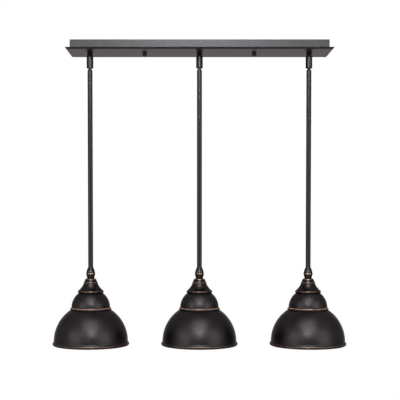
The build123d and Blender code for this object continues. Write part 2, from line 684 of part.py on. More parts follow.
def shade_outside():
    """Outer outline from the flat top over both domes, the bead between them and the rolled rim."""
    bead_start = SHADE_TOP - BEAD_START
    bead_end = SHADE_TOP - BEAD_END
    rim_start = SHADE_TOP - RIM_START
    rim_middle = SHADE_TOP - RIM_MIDDLE
    bead_neck = (SMALL_DOME_RADIUS + BEAD_NECK_STEP, SHADE_TOP - BEAD_NECK)
    bead_outside = (BEAD_RADIUS, SHADE_TOP - BEAD_MIDDLE)
    rim_neck = (RIM_RADIUS - RIM_NECK_STEP, SHADE_TOP - RIM_NECK)
    rim_foot = (RIM_RADIUS - RIM_CURL, rim_middle - RIM_CURL)
    return [
        Line(at(0, SHADE_TOP), at(small_dome_radius(SHADE_TOP), SHADE_TOP)),
        dome_arc(SMALL_DOME_RADIUS, SMALL_DOME_MIDDLE, SMALL_DOME_ARC, SHADE_TOP, bead_start),
        hollow_arc((small_dome_radius(bead_start), bead_start), bead_neck, BEAD_FILLET),
        ThreePointArc(at(*bead_neck), at(*bead_outside), at(big_dome_radius(bead_end), bead_end)),
        dome_arc(BIG_DOME_RADIUS, BIG_DOME_MIDDLE, BIG_DOME_ARC, bead_end, rim_start),
        hollow_arc((big_dome_radius(rim_start), rim_start), rim_neck, RIM_FILLET),
        ThreePointArc(at(*rim_neck), at(RIM_RADIUS, rim_middle), at(*rim_foot)),
        Polyline(at(*rim_foot), at(0, rim_foot[1]), at(0, SHADE_TOP)),
    ]


def shade_inside():
    """Inner outline, a wall's thickness inside both domes, down to the curled edge."""
    small_reach = SMALL_DOME_RADIUS - SHADE_WALL
    big_reach = BIG_DOME_RADIUS - SHADE_WALL
    small_arc = SMALL_DOME_ARC - SHADE_WALL
    big_arc = BIG_DOME_ARC - SHADE_WALL
    ceiling = SHADE_TOP - SHADE_WALL
    bead_top = SHADE_TOP - BEAD_START - SHADE_WALL
    bead_bottom = SHADE_TOP - BEAD_END - SHADE_WALL
    rim_start = SHADE_TOP - RIM_START
    rim_middle = SHADE_TOP - RIM_MIDDLE
    ceiling_edge = at(circle_radius(small_reach, SMALL_DOME_MIDDLE, small_arc, ceiling), ceiling)
    small_end = at(circle_radius(small_reach, SMALL_DOME_MIDDLE, small_arc, bead_top), bead_top)
    big_start = at(circle_radius(big_reach, BIG_DOME_MIDDLE, big_arc, bead_bottom), bead_bottom)
    wall_end = at(circle_radius(big_reach, BIG_DOME_MIDDLE, big_arc, rim_start), rim_start)
    rim_center = RIM_RADIUS - RIM_CURL
    slant = RIM_CURL / sqrt(2)
    curl_start = at(rim_center - RIM_CURL, rim_middle)
    curl_middle = at(rim_center - slant, rim_middle - slant)
    curl_end = at(rim_center, rim_middle - RIM_CURL)
    return [
        Line(at(0, ceiling), ceiling_edge),
        dome_arc(small_reach, SMALL_DOME_MIDDLE, small_arc, ceiling, bead_top),
        Line(small_end, big_start),
        dome_arc(big_reach, BIG_DOME_MIDDLE, big_arc, bead_bottom, rim_start),
        Line(wall_end, curl_start),
        ThreePointArc(curl_start, curl_middle, curl_end),
        Polyline(curl_end, at(0, rim_middle - RIM_CURL), at(0, ceiling)),
    ]


def shade():
    """The spun shade: one thin wall with a round hole for the socket."""
    fitter = SOCKET_THREAD_RADIUS + FITTER_CLEARANCE
    return lathe(shade_outside()) - lathe(shade_inside()) - rod(fitter, SHADE_TOP, SHADE_TOP - SHADE_WALL)


# ---- assembly ----------------------------------------------------------------------------

SINGLE_PIECES = {
    "face_plate": face_plate,
    "canopy_pan": canopy_pan,
    "mounting_strap": mounting_strap,
    "strap_studs": strap_studs,
    "stud_jam_nuts": stud_jam_nuts,
    "cover_nuts": cover_nuts,
    "ground_screw": ground_screw,
}

FASTENERS_PER_PENDANT = {
    "swivel_nuts": swivel_nut,
    "swivel_lock_washers": swivel_lock_washer,
    "wire_bushings": wire_bushing,
}

PIECES_PER_PENDANT = {
    "shank": shank,
    "swivel_barrel": swivel_barrel,
    "key_pins": key_pins,
    "ball_stud": ball_stud,
    "stem": stem,
    "knuckle": knuckle,
    "cap_nipple": cap_nipple,
    "cap": cap,
    "cap_lock_nut": cap_lock_nut,
    "socket_body": socket_body,
    "screw_shell": screw_shell,
    "center_contact": center_contact,
    "shade_ring": shade_ring,
    "shade": shade,
}


def assembly():
    """Every node by name, each at its place in the light."""
    nodes = {name: make() for name, make in SINGLE_PIECES.items()}
    for name, make in FASTENERS_PER_PENDANT.items():
        nodes[name] = under_pendants(make())
    for name, make in PIECES_PER_PENDANT.items():
        piece = make()
        for side, place in PENDANTS.items():
            nodes[f"{name}_{side}"] = Pos(place, 0, 0) * piece
    return nodes


os.makedirs("parts", exist_ok=True)
for name, node in assembly().items():
    export_step(node, f"parts/{name}.step")
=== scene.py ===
"""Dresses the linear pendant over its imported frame, and sets up the studio and the camera."""

import logging
import math
from dataclasses import dataclass
from enum import Enum
from typing import Callable, Optional, Sequence

import bpy
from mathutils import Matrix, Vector


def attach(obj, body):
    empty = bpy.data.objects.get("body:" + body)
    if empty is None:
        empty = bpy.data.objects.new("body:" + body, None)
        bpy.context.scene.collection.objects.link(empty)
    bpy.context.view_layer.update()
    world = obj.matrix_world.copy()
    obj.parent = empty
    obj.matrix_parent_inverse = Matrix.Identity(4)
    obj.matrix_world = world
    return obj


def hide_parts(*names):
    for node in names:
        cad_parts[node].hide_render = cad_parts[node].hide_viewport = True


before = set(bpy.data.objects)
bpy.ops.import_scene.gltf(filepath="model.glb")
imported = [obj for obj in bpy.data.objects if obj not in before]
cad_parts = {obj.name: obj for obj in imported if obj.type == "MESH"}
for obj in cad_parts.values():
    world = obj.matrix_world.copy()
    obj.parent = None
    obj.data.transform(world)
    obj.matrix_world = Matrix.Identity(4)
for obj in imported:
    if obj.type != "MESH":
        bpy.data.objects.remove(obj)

log = logging.getLogger("pendant")

MM = 0.001
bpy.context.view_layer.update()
TINY = 1e-6
CIRCLE = 2 * math.pi

# Sizes and heights in millimetres that more than one sub-assembly meets.
SPACING = 254.0
PLATE_BOTTOM = -22.4
STEM_RADIUS = 5.75
STEM_TOP = -62.6
SHADE_TOP = -578.0
SHADE_WALL = 1.0

Point = tuple[float, float]
Triple = tuple[float, float, float]
Color = Triple
Piece = bpy.types.Object
Material = bpy.types.Material
Socket = bpy.types.NodeSocket


class Pendant(Enum):
    """The three pendants, by their place along the canopy in millimetres."""

    LEFT = -SPACING
    CENTER = 0.0
    RIGHT = SPACING

    @property
    def label(self) -> str:
        """The word that ends the names of this pendant's pieces."""
        return self.name.lower()

    @property
    def body(self) -> str:
        """The moving body that this pendant's pieces ride on."""
        return f"pendant_{self.label}"


class Slot(Enum):
    """Finishes by name."""

    BRONZE = "bronze"
    BRONZE_SHADE = "bronze_shade"
    ZINC = "zinc_steel"
    GREEN = "green_screw"
    BUSHING = "bushing_plastic"
    PORCELAIN = "porcelain"
    BRASS = "brass"
    RING = "ring_plastic"


class Element(Enum):
    """What a step selects in a mesh, by Blender's name for it."""

    VERTEX = "VERT"
    EDGE = "EDGE"
    FACE = "FACE"


# ---- outlines ----


class Outline:
    """A turned piece's outline: radius and height pairs in millimetres."""

    SAME = 1e-4

    def __init__(self, *points: Point, step: float = 7.0) -> None:
        """Starts an outline.

        Args:
            points: The first points, in order.
            step: Degrees of arc between two points of a curve.
        """
        self.points: list[Point] = list(points)
        self.step = math.radians(step)

    def every(self, degrees: float) -> "Outline":
        """Sets the arc between two points of a curve from here on, and returns the outline."""
        self.step = math.radians(degrees)
        return self

    def line(self, *points: Point) -> "Outline":
        """Adds straight runs and returns the outline."""
        self.points.extend(points)
        return self

    def closed(self) -> "Outline":
        """Runs back to the first point and returns the outline."""
        self.points.append(self.points[0])
        return self

    def sweep(self, center: Point, start: float, end: float, radius: float) -> "Outline":
        """Adds an arc about a centre.

        Args:
            center: Radius and height of the arc's centre.
            start: Angle of the arc's first point in radians, 0 being outwards.
            end: Angle of its last point.
            radius: The arc's radius.

        Returns:
            The outline, for the next run.
        """
        count = max(2, math.ceil(abs(end - start) / self.step))
        for index in range(count + 1):
            angle = start + (end - start) * index / count
            point = (center[0] + radius * math.cos(angle), center[1] + radius * math.sin(angle))
            if not self.points or math.dist(point, self.points[-1]) >= self.SAME:
                self.points.append(point)
        return self

    def through(self, middle: Point, end: Point) -> "Outline":
        """Adds the arc that runs from the last point through a second to a third.

        Args:
            middle: A point on the arc.
            end: The arc's last point.

        Returns:
            The outline, for the next run.
        """
        (ax, ay), (bx, by), (cx, cy) = self.points[-1], middle, end
        cross = 2 * (ax * (by - cy) + bx * (cy - ay) + cx * (ay - by))
        a2, b2, c2 = ax * ax + ay * ay, bx * bx + by * by, cx * cx + cy * cy
        center = (
            (a2 * (by - cy) + b2 * (cy - ay) + c2 * (ay - by)) / cross,
            (a2 * (cx - bx) + b2 * (ax - cx) + c2 * (bx - ax)) / cross,
        )
        first, mid, last = (
            math.atan2(y - center[1], x - center[0]) for x, y in ((ax, ay), middle, end)
        )
        turn = (last - first) % CIRCLE
        if (mid - first) % CIRCLE > turn:
            turn -= CIRCLE
        return self.sweep(center, first, first + turn, math.dist(center, end))

    def bow(self, end: Point, radius: float) -> "Outline":
        """Adds an arc of a given radius to a point further down.

        Args:
            end: The arc's last point.
            radius: Positive to bulge from the axis, negative to bend towards it.

        Returns:
            The outline, for the next run.
        """
        start = self.points[-1]
        chord = math.dist(start, end)
        run = ((end[0] - start[0]) / chord, (end[1] - start[1]) / chord)
        rise = abs(radius) - math.sqrt(radius * radius - chord * chord / 4)
        side = -1 if radius > 0 else 1
        middle = (
            (start[0] + end[0]) / 2 + side * run[1] * rise,
            (start[1] + end[1]) / 2 - side * run[0] * rise,
        )
        return self.through(middle, end)


# ---- modelling steps ----


class Bench:
    """Modelling steps on one mesh at a time, each done as by hand."""

    # Metres within which a wound skin is welded, and within which a cut is made.
    SCREW_MERGE = 5 * TINY
    CUT = 1e-7
    # Degrees between faces that count as one flat face.
    FLAT = 0.5
    # Turns wound below a thread's lower end, and one turn as shares of its depth and pitch.
    LEAD = 1.5
    TURN = ((0.0, 0.0), (1.0, 0.4), (1.0, 0.55), (0.0, 0.95), (0.0, 1.0))

    @staticmethod
    def free() -> None:
        """Leaves edit mode and deselects every object."""
        if bpy.context.mode != "OBJECT":
            bpy.ops.object.mode_set(mode="OBJECT")
        bpy.ops.object.select_all(action="DESELECT")

    @classmethod
    def hold(cls, piece: Piece) -> None:
        """Makes one object the active one, and the only one selected.

        Args:
            piece: The object.
        """
        cls.free()
        piece.select_set(True)
        bpy.context.view_layer.objects.active = piece

    @classmethod
    def enter(cls, piece: Piece) -> None:
        """Opens one object's mesh in edit mode."""
        cls.hold(piece)
        bpy.ops.object.mode_set(mode="EDIT")

    @staticmethod
    def leave() -> None:
        """Leaves edit mode."""
        bpy.ops.object.mode_set(mode="OBJECT")

    @staticmethod
    def weld(reach: float = TINY) -> None:
        """Selects the whole open mesh and merges what lies within a reach, in metres."""
        bpy.ops.mesh.select_all(action="SELECT")
        bpy.ops.mesh.remove_doubles(threshold=reach)

    @classmethod
    def turn_out(cls) -> None:
        """Turns every face of the open mesh outwards, and leaves edit mode."""
        bpy.ops.mesh.select_all(action="SELECT")
        bpy.ops.mesh.normals_make_consistent(inside=False)
        cls.leave()

    @staticmethod
    def scale_round(scale: float) -> None:
        """Scales what is selected about the vertical axis."""
        bpy.ops.transform.resize(value=(scale, scale, 1), center_override=(0, 0, 0))

    @staticmethod
    def added(name: str) -> Piece:
        """Names the primitive just added.

        Args:
            name: The name of the object and its mesh.

        Returns:
            The object.
        """
        piece = bpy.context.object
        piece.name = name
        piece.data.name = name
        return piece

    @classmethod
    def settle(cls, piece: Piece, smooth: float = 30.0) -> Piece:
        """Puts the object at the origin with its place in its mesh, and smooths its shading.

        Args:
            piece: The object.
            smooth: Degrees above which an edge stays sharp.

        Returns:
            The object.
        """
        cls.hold(piece)
        bpy.ops.object.transform_apply(location=True, rotation=True, scale=True)
        bpy.ops.object.shade_smooth_by_angle(angle=math.radians(smooth))
        return piece

    @classmethod
    def apply(cls, piece: Piece, kind: str, **settings: object) -> Piece:
        """Adds a modifier, sets it and applies it.

        Args:
            piece: The object.
            kind: The modifier's type.
            settings: Its properties by name.

        Returns:
            The object.
        """
        cls.hold(piece)
        modifier = piece.modifiers.new("step", kind)
        for key, value in settings.items():
            setattr(modifier, key, value)
        bpy.ops.object.modifier_apply(modifier=modifier.name)
        return piece

    @classmethod
    def soften(
        cls, piece: Piece, width: float, angle: float = 28.0, segments: int = 2,
        smooth: float = 30.0,
    ) -> Piece:
        """Rounds every edge sharper than an angle, and keeps large faces flat beside it.

        Args:
            piece: The object, whose second material goes on the roundings.
            width: Width of the rounding in millimetres.
            angle: Degrees between faces from which an edge is rounded.
            segments: Faces across the rounding.
            smooth: Degrees above which an edge stays sharp afterwards.

        Returns:
            The object.
        """
        while len(piece.data.materials) < 2:
            piece.data.materials.append(None)
        cls.apply(
            piece, "BEVEL", width=width * MM, segments=segments, limit_method="ANGLE",
            angle_limit=math.radians(angle), material=1,
        )
        cls.settle(piece, smooth)
        return cls.apply(piece, "WEIGHTED_NORMAL", keep_sharp=True, weight=50)

    @classmethod
    def draw(cls, name: str, outline: Outline) -> Piece:
        """Draws an outline as a row of edges in the plane y = 0, and leaves it in edit mode.

        Args:
            name: The object's name.
            outline: Its points.

        Returns:
            The object.
        """
        cls.free()
        radius, height = outline.points[0]
        bpy.ops.mesh.primitive_plane_add(size=MM, location=(radius * MM, 0, height * MM))
        piece = cls.added(name)
        bpy.ops.object.mode_set(mode="EDIT")
        bpy.ops.mesh.select_mode(type="VERT")
        bpy.ops.mesh.select_all(action="SELECT")
        bpy.ops.mesh.merge(type="CENTER")
        for last, point in zip(outline.points, outline.points[1:]):
            move = ((point[0] - last[0]) * MM, 0, (point[1] - last[1]) * MM)
            bpy.ops.mesh.extrude_region_move(TRANSFORM_OT_translate={"value": move})
        cls.weld()
        return piece

    @classmethod
    def turn(cls, name: str, outline: Outline, segments: int = 96) -> Piece:
        """Spins an outline about the vertical axis into a skin.

        Args:
            name: The object's name.
            outline: Closed, or from axis to axis, or else the skin stays open.
            segments: Faces round the axis.

        Returns:
            The turned piece.
        """
        piece = cls.draw(name, outline)
        bpy.ops.mesh.spin(
            steps=segments, angle=CIRCLE, center=(0, 0, 0), axis=(0, 0, 1), use_auto_merge=True
        )
        cls.weld()
        cls.turn_out()
        return cls.settle(piece)

    @classmethod
    def block(cls, name: str, size: Triple, middle: Triple) -> Piece:
        """Adds a block and leaves it in edit mode with nothing selected.

        Args:
            name: The object's name.
            size: Length, depth and height in millimetres.
            middle: The block's centre in millimetres.

        Returns:
            The object.
        """
        cls.free()
        bpy.ops.mesh.primitive_cube_add(
            size=1, location=[v * MM for v in middle], scale=[v * MM for v in size]
        )
        piece = cls.added(name)
        bpy.ops.object.transform_apply(location=True, rotation=True, scale=True)
        bpy.ops.object.mode_set(mode="EDIT")
        bpy.ops.mesh.select_all(action="DESELECT")
        return piece

    @classmethod
    def pick(
        cls, piece: Piece, kind: Element, test: Callable[..., bool], within: bool = False
    ) -> None:
        """Selects the vertices, edges or faces that pass a test, and no others.

        Args:
            piece: An object in edit mode.
            kind: What is selected.
            test: Takes a vertex, an edge's two ends, or a face, and says if it is wanted.
            within: Whether only what is selected already can be chosen.
        """
        bpy.ops.mesh.select_mode(type=kind.value)
        cls.leave()
        mesh = piece.data
        if kind is Element.VERTEX:
            chosen = [v for v in mesh.vertices if test(v.co)]
        elif kind is Element.EDGE:
            chosen = [e for e in mesh.edges if test(*(mesh.vertices[i].co for i in e.vertices))]
        else:
            chosen = [f for f in mesh.polygons if test(f)]
        if within:
            chosen = [item for item in chosen if item.select]
        for group in (mesh.vertices, mesh.edges, mesh.polygons):
            group.foreach_set("select", [False] * len(group))
        for item in chosen:
            item.select = True
        bpy.ops.object.mode_set(mode="EDIT")

    @classmethod
    def pick_level(cls, piece: Piece, height: float, within: bool = False) -> None:
        """Selects the edges that lie at a height, in millimetres, as pick does."""
        level = height * MM
        cls.pick(
            piece, Element.EDGE, lambda a, b: max(abs(a.z - level), abs(b.z - level)) < TINY, within
        )

    @classmethod
    def wind(
        cls, name: str, profile: Outline, pitch: float, turns: int, ends: Point,
        steps: int, fill: bool = False,
    ) -> Piece:
        """Winds one turn's outline up the axis, cuts it off square, and leaves it in edit mode.

        Args:
            name: The object's name.
            profile: The outline of one turn, from its lower end.
            pitch: Height of one turn in millimetres.
            turns: How many turns are wound before the cuts.
            ends: Heights of the upper and the lower end.
            steps: Faces round one turn.
            fill: Whether the cut ends are closed.

        Returns:
            The object.
        """
        piece = cls.draw(name, profile)
        cls.leave()
        cls.settle(piece)
        cls.apply(
            piece, "SCREW", axis="Z", angle=CIRCLE, screw_offset=pitch * MM, iterations=turns,
            steps=steps, render_steps=steps, use_merge_vertices=True, merge_threshold=TINY,
            use_normal_calculate=True,
        )
        cls.enter(piece)
        cls.weld(cls.SCREW_MERGE)
        for height, upward in zip(ends, (1, -1)):
            bpy.ops.mesh.select_all(action="SELECT")
            bpy.ops.mesh.bisect(
                plane_co=(0, 0, height * MM), plane_no=(0, 0, upward), use_fill=fill,
                clear_outer=True, threshold=cls.CUT,
            )
        return piece

    @classmethod
    def thread(
        cls, name: str, crest: float, depth: float, pitch: float, ends: Point, steps: int,
        bore: float = 0.0,
    ) -> Piece:
        """Winds a thread round the axis and cuts its ends square.

        Args:
            name: The object's name.
            crest: Outer radius in millimetres.
            depth: Depth of the thread.
            pitch: Height of one turn.
            ends: Heights of the upper and the lower end.
            steps: Faces round one turn.
            bore: Radius of the hole through it, or 0 for a solid rod.

        Returns:
            The threaded piece.
        """
        root, start = crest - depth, ends[1] - cls.LEAD * pitch
        profile = Outline(*((root + out * depth, start + up * pitch) for out, up in cls.TURN))
        turns = math.ceil((ends[0] - start) / pitch) + 1
        piece = cls.wind(name, profile, pitch, turns, ends, steps, fill=not bore)
        if bore:
            cls.line_bore(piece, bore, ends, steps)
        cls.turn_out()
        return cls.settle(piece)

    @classmethod
    def line_bore(cls, piece: Piece, bore: float, ends: Point, steps: int) -> None:
        """Adds a bore's wall to an open skin in edit mode, and joins both at their ends.

        Args:
            piece: The object in edit mode, open at both ends.
            bore: The bore's radius in millimetres.
            ends: Heights of the upper and the lower end.
            steps: Faces round the bore.
        """
        top, bottom = ends
        bpy.ops.mesh.select_all(action="DESELECT")
        bpy.ops.mesh.primitive_circle_add(
            vertices=steps, radius=bore * MM, location=(0, 0, top * MM)
        )
        bpy.ops.mesh.extrude_region_move(
            TRANSFORM_OT_translate={"value": (0, 0, (bottom - top) * MM)}
        )
        for height in ends:
            bpy.ops.mesh.select_mode(type="EDGE")
            bpy.ops.mesh.select_non_manifold(
                extend=False, use_wire=False, use_multi_face=False,
                use_non_contiguous=False, use_verts=False,
            )
            cls.pick_level(piece, height, within=True)
            bpy.ops.mesh.bridge_edge_loops()

    @classmethod
    def from_node(cls, node: str, name: str, width: float, angle: float = 35.0) -> Piece:
        """Copies a node's mesh, merges its loose faces and rounds its sharp edges.

        Args:
            node: The node's name.
            name: The new object's name.
            width: Width of the rounding in millimetres.
            angle: Degrees between faces from which an edge is rounded.

        Returns:
            The new object.
        """
        cls.free()
        piece = bpy.data.objects.new(name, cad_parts[node].data.copy())
        bpy.context.scene.collection.objects.link(piece)
        piece.data.materials.clear()
        cls.enter(piece)
        cls.weld()
        bpy.ops.mesh.dissolve_limited(angle_limit=math.radians(cls.FLAT))
        cls.leave()
        bpy.ops.mesh.customdata_custom_splitnormals_clear()
        return cls.soften(piece, width, angle)

    @classmethod
    def copy_to(cls, piece: Piece, name: str, along: float) -> Piece:
        """Copies a piece with its own mesh to another place along the canopy.

        Args:
            piece: The piece to copy.
            name: The copy's name.
            along: How far it moves in millimetres.

        Returns:
            The copy, at the origin with its place in its mesh.
        """
        cls.hold(piece)
        bpy.ops.object.duplicate(linked=False)
        copy = cls.added(name)
        copy.location.x = along * MM
        bpy.ops.object.transform_apply(location=True, rotation=True, scale=True)
        return copy

    @classmethod
    def row(cls, piece: Piece, name: str, places: Sequence[float]) -> Piece:
        """Copies a piece to places along the canopy, as one object in its stead.

        Args:
            piece: The piece to copy, which is removed.
            name: The new object's name.
            places: The places in millimetres.

        Returns:
            The new object.
        """
        copies = [cls.copy_to(piece, f"{name}_{index}", x) for index, x in enumerate(places)]
        bpy.data.objects.remove(piece)
        cls.hold(copies[0])
        for copy in copies:
            copy.select_set(True)
        bpy.ops.object.join()
        return cls.added(name)


# ---- finishes ----


@dataclass(frozen=True)
class Band:
    """A band of heights, in millimetres, where the bronze is rubbed through."""

    height: float
    half: float
    level: float = 1.0
    core: float = 0.35

    def marks(self) -> tuple[Point, ...]:
        """Each height where the share of copper turns, with that share."""
        full = self.half * self.core
        return tuple(
            (self.height + offset, level)
            for offset, level in (
                (-self.half, 0.0), (-full, self.level), (full, self.level), (self.half, 0.0),
            )
        )


class Nodes:
    """Adds nodes to one node tree."""

    def __init__(self, tree: bpy.types.NodeTree) -> None:
        """Takes the tree."""
        self.tree = tree

    def feed(self, socket: Socket, value: object) -> None:
        """Gives a socket a plain value, or links it to another.

        Args:
            socket: The socket of a node's input.
            value: A number, a tuple or another node's output.
        """
        if isinstance(value, bpy.types.NodeSocket):
            self.tree.links.new(value, socket)
        else:
            socket.default_value = value

    def add(
        self, kind: str, inputs: Optional[dict[str | int, object]] = None, **settings: object
    ) -> bpy.types.Node:
        """Adds a node.

        Args:
            kind: The node's type.
            inputs: Values or sockets for its inputs, by name or by place.
            settings: Its properties by name.

        Returns:
            The node.
        """
        node = self.tree.nodes.new(kind)
        for key, value in settings.items():
            setattr(node, key, value)
        for key, value in (inputs or {}).items():
            self.feed(node.inputs[key], value)
        return node

    def calc(self, operation: str, first: object, second: object) -> Socket:
        """Joins two values with a math node and returns its output."""
        return self.add("ShaderNodeMath", {0: first, 1: second}, operation=operation).outputs[0]

    def seen(self) -> Socket:
        """Gives 1 to rays from the camera or through a mirror, and 0 to all others.

        Returns:
            The value.
        """
        path = self.add("ShaderNodeLightPath").outputs
        mirrored = self.calc("MAXIMUM", path["Is Glossy Ray"], path["Is Transmission Ray"])
        return self.calc("MAXIMUM", path["Is Camera Ray"], mirrored)


class Shading(Nodes):
    """The nodes of one material."""

    # Millimetres beyond the outermost bands that a mask of heights spans.
    MARGIN = 1.0

    def __init__(self, name: str, roughness: float, specular: float = 0.5) -> None:
        """Starts a material with one principled shader.

        Args:
            name: The material's name.
            roughness: The shader's plain roughness.
            specular: Its specular level.
        """
        self.material = bpy.data.materials.new(name)
        self.material.use_nodes = True
        super().__init__(self.material.node_tree)
        self.shader = self.tree.nodes["Principled BSDF"].inputs
        self.join(roughness, "Roughness")
        self.join(specular, "Specular IOR Level")
        self.place = self.add("ShaderNodeTexCoord").outputs["Object"]

    def join(self, value: object, socket: str) -> None:
        """Gives one of the shader's sockets a value, or links it."""
        self.feed(self.shader[socket], value)

    def noise(
        self, scale: float, detail: float = 3.0, rough: float = 0.55, stretch: Triple = (1, 1, 1)
    ) -> Socket:
        """Adds a noise pattern in object space.

        Args:
            scale: Features per metre.
            detail: Octaves.
            rough: Share of each finer octave.
            stretch: Factor on the scale along each axis.

        Returns:
            The pattern's value.
        """
        spot = self.add("ShaderNodeMapping", {"Vector": self.place, "Scale": stretch}).outputs[0]
        inputs = {"Vector": spot, "Scale": scale, "Detail": detail, "Roughness": rough}
        return self.add("ShaderNodeTexNoise", inputs).outputs["Fac"]

    def ramp(self, value: Socket, *stops: tuple[float, Color]) -> Socket:
        """Turns a value into a colour.

        Args:
            value: The value.
            stops: Places from 0 to 1 with the colour at each.

        Returns:
            The colour.
        """
        node = self.add("ShaderNodeValToRGB", {"Fac": value})
        marks = node.color_ramp.elements
        while len(marks) < len(stops):
            marks.new(0.5)
        for mark, (spot, color) in zip(marks, sorted(stops, key=lambda stop: stop[0])):
            mark.position = min(1.0, max(0.0, spot))
            mark.color = (*color, 1)
        return node.outputs["Color"]

    def span(self, value: Socket, low: float, high: float, smooth: bool = True) -> Socket:
        """Maps a range of a value to 0 to 1.

        Args:
            value: The value.
            low: What becomes 0.
            high: What becomes 1.
            smooth: Whether the run eases in and out.

        Returns:
            The mapped value, clamped.
        """
        inputs = {"Value": value, "From Min": low, "From Max": high}
        kind = "SMOOTHSTEP" if smooth else "LINEAR"
        return self.add("ShaderNodeMapRange", inputs, interpolation_type=kind).outputs["Result"]

    def blend(self, share: Socket, first: Socket, second: object) -> Socket:
        """Mixes two colours by a share and returns the result."""
        inputs = {0: share, 6: first, 7: second}
        return self.add("ShaderNodeMix", inputs, data_type="RGBA").outputs[2]

    def sway(self, base: object, pattern: Socket, amount: float) -> Socket:
        """Lets a value follow a pattern up and down by half an amount, and returns it."""
        swing = self.calc("MULTIPLY", self.calc("SUBTRACT", pattern, 0.5), amount)
        return self.calc("ADD", swing, base)

    def bump(self, height: Socket, distance: float) -> None:
        """Gives the shader a bump from a height, with its depth in millimetres."""
        node = self.add("ShaderNodeBump", {"Height": height, "Distance": distance * MM})
        self.join(node.outputs[0], "Normal")

    def height_mask(self, bands: Sequence[Band]) -> Socket:
        """Adds a mask that is full at the middle of each band of heights.

        Args:
            bands: The bands.

        Returns:
            The mask's value.
        """
        top = max(band.height + band.half for band in bands) + self.MARGIN
        bottom = min(band.height - band.half for band in bands) - self.MARGIN
        z = self.add("ShaderNodeSeparateXYZ", {"Vector": self.place}).outputs["Z"]
        stops: list[tuple[float, Color]] = [(0.0, (0, 0, 0)), (1.0, (0, 0, 0))]
        for band in bands:
            for height, level in band.marks():
                stops.append(((height - bottom) / (top - bottom), (level, level, level)))
        return self.ramp(self.span(z, bottom * MM, top * MM, smooth=False), *stops)


def tinted(color: Color, factor: float) -> Color:
    """Makes a colour lighter or darker by a factor."""
    return tuple(part * factor for part in color)


@dataclass(frozen=True)
class Bronze:
    """Nearly black oil-rubbed bronze, rubbed through to copper on bands of heights."""

    name: str
    bands: tuple[Band, ...] = ()
    rubbed: float = 0.0
    roughness: float = 0.37
    dark: Color = (0.0168, 0.0144, 0.0149)
    light: Color = (0.0212, 0.0182, 0.0188)
    copper: Color = (0.72, 0.42, 0.27)
    edge_tint: Color = (0.54, 0.52, 0.52)
    spun: bool = False
    uneven: float = 1.0

    def material(self) -> Material:
        """Builds the material.

        Returns:
            The material.
        """
        s = Shading(self.name, self.roughness)
        s.join(1.0, "Metallic")
        s.join((*self.edge_tint, 1), "Specular Tint")
        mottle = s.noise(42, detail=5, rough=0.62)
        grain = s.noise(1500, detail=2, rough=0.5)
        base = s.ramp(s.span(mottle, 0.3, 0.72), (0.0, self.dark), (1.0, self.light))
        share = None
        if self.bands:
            ragged = s.span(s.noise(260, detail=4, rough=0.6, stretch=(1, 1, 2.2)), 0.28, 0.56)
            share = s.calc("MULTIPLY", s.height_mask(self.bands), ragged)
        elif self.rubbed:
            patchy = s.span(s.noise(120, detail=4, rough=0.65), 0.42, 0.6)
            share = s.calc("MULTIPLY", patchy, self.rubbed)
        if share is not None:
            tone = s.ramp(s.noise(330, detail=3), (0.3, tinted(self.copper, 0.72)), (0.7, self.copper))
            base = s.blend(share, base, tone)
        s.join(base, "Base Color")
        rough = s.sway(self.roughness, mottle, 0.07 * self.uneven)
        s.join(s.sway(rough, grain, 0.08 * self.uneven), "Roughness")
        if self.spun:
            lines = s.noise(1300, detail=2, rough=0.5, stretch=(0.02, 0.02, 1))
            both = s.calc("ADD", s.calc("MULTIPLY", lines, 0.6), s.calc("MULTIPLY", grain, 0.4))
            s.bump(both, 0.006 * self.uneven)
        else:
            s.bump(grain, 0.008 * self.uneven)
        return s.material


@dataclass(frozen=True)
class Plated:
    """Bright plated metal with fine drawing lines and dulled patches."""

    name: str
    color: Color = (0.50, 0.50, 0.488)
    tint: Color = (0.55, 0.535, 0.48)
    roughness: float = 0.34

    def material(self) -> Material:
        """Builds the material.

        Returns:
            The material.
        """
        s = Shading(self.name, self.roughness)
        s.join(1.0, "Metallic")
        cloud = s.noise(70, detail=4)
        stops = ((0.0, tinted(self.color, 0.82)), (0.6, self.color), (1.0, self.tint))
        s.join(s.ramp(s.span(cloud, 0.3, 0.7), *stops), "Base Color")
        brushed = s.noise(900, detail=3, rough=0.6, stretch=(0.05, 1, 1))
        s.join(s.sway(s.sway(self.roughness, brushed, 0.2), cloud, 0.2), "Roughness")
        s.bump(brushed, 0.01)
        return s.material


@dataclass(frozen=True)
class Glaze:
    """Glossy white glaze or enamel with a faint unevenness."""

    name: str
    color: Color = (0.80, 0.79, 0.75)
    shade: Color = (0.70, 0.685, 0.64)
    speck: Color = (0.42, 0.40, 0.36)
    roughness: float = 0.16
    ripple: float = 0.02
    coat: float = 0.3

    def material(self) -> Material:
        """Builds the material.

        Returns:
            The material.
        """
        s = Shading(self.name, self.roughness)
        s.join(self.coat, "Coat Weight")
        s.join(0.1, "Coat Roughness")
        cloud = s.noise(55, detail=4)
        specks = s.calc("MULTIPLY", s.span(s.noise(1400, detail=2), 0.66, 0.72), 0.35)
        base = s.ramp(s.span(cloud, 0.35, 0.7), (0.0, self.shade), (1.0, self.color))
        s.join(s.blend(specks, base, (*self.speck, 1)), "Base Color")
        s.join(s.sway(self.roughness, cloud, 0.12), "Roughness")
        s.bump(s.noise(160, detail=3), self.ripple)
        return s.material


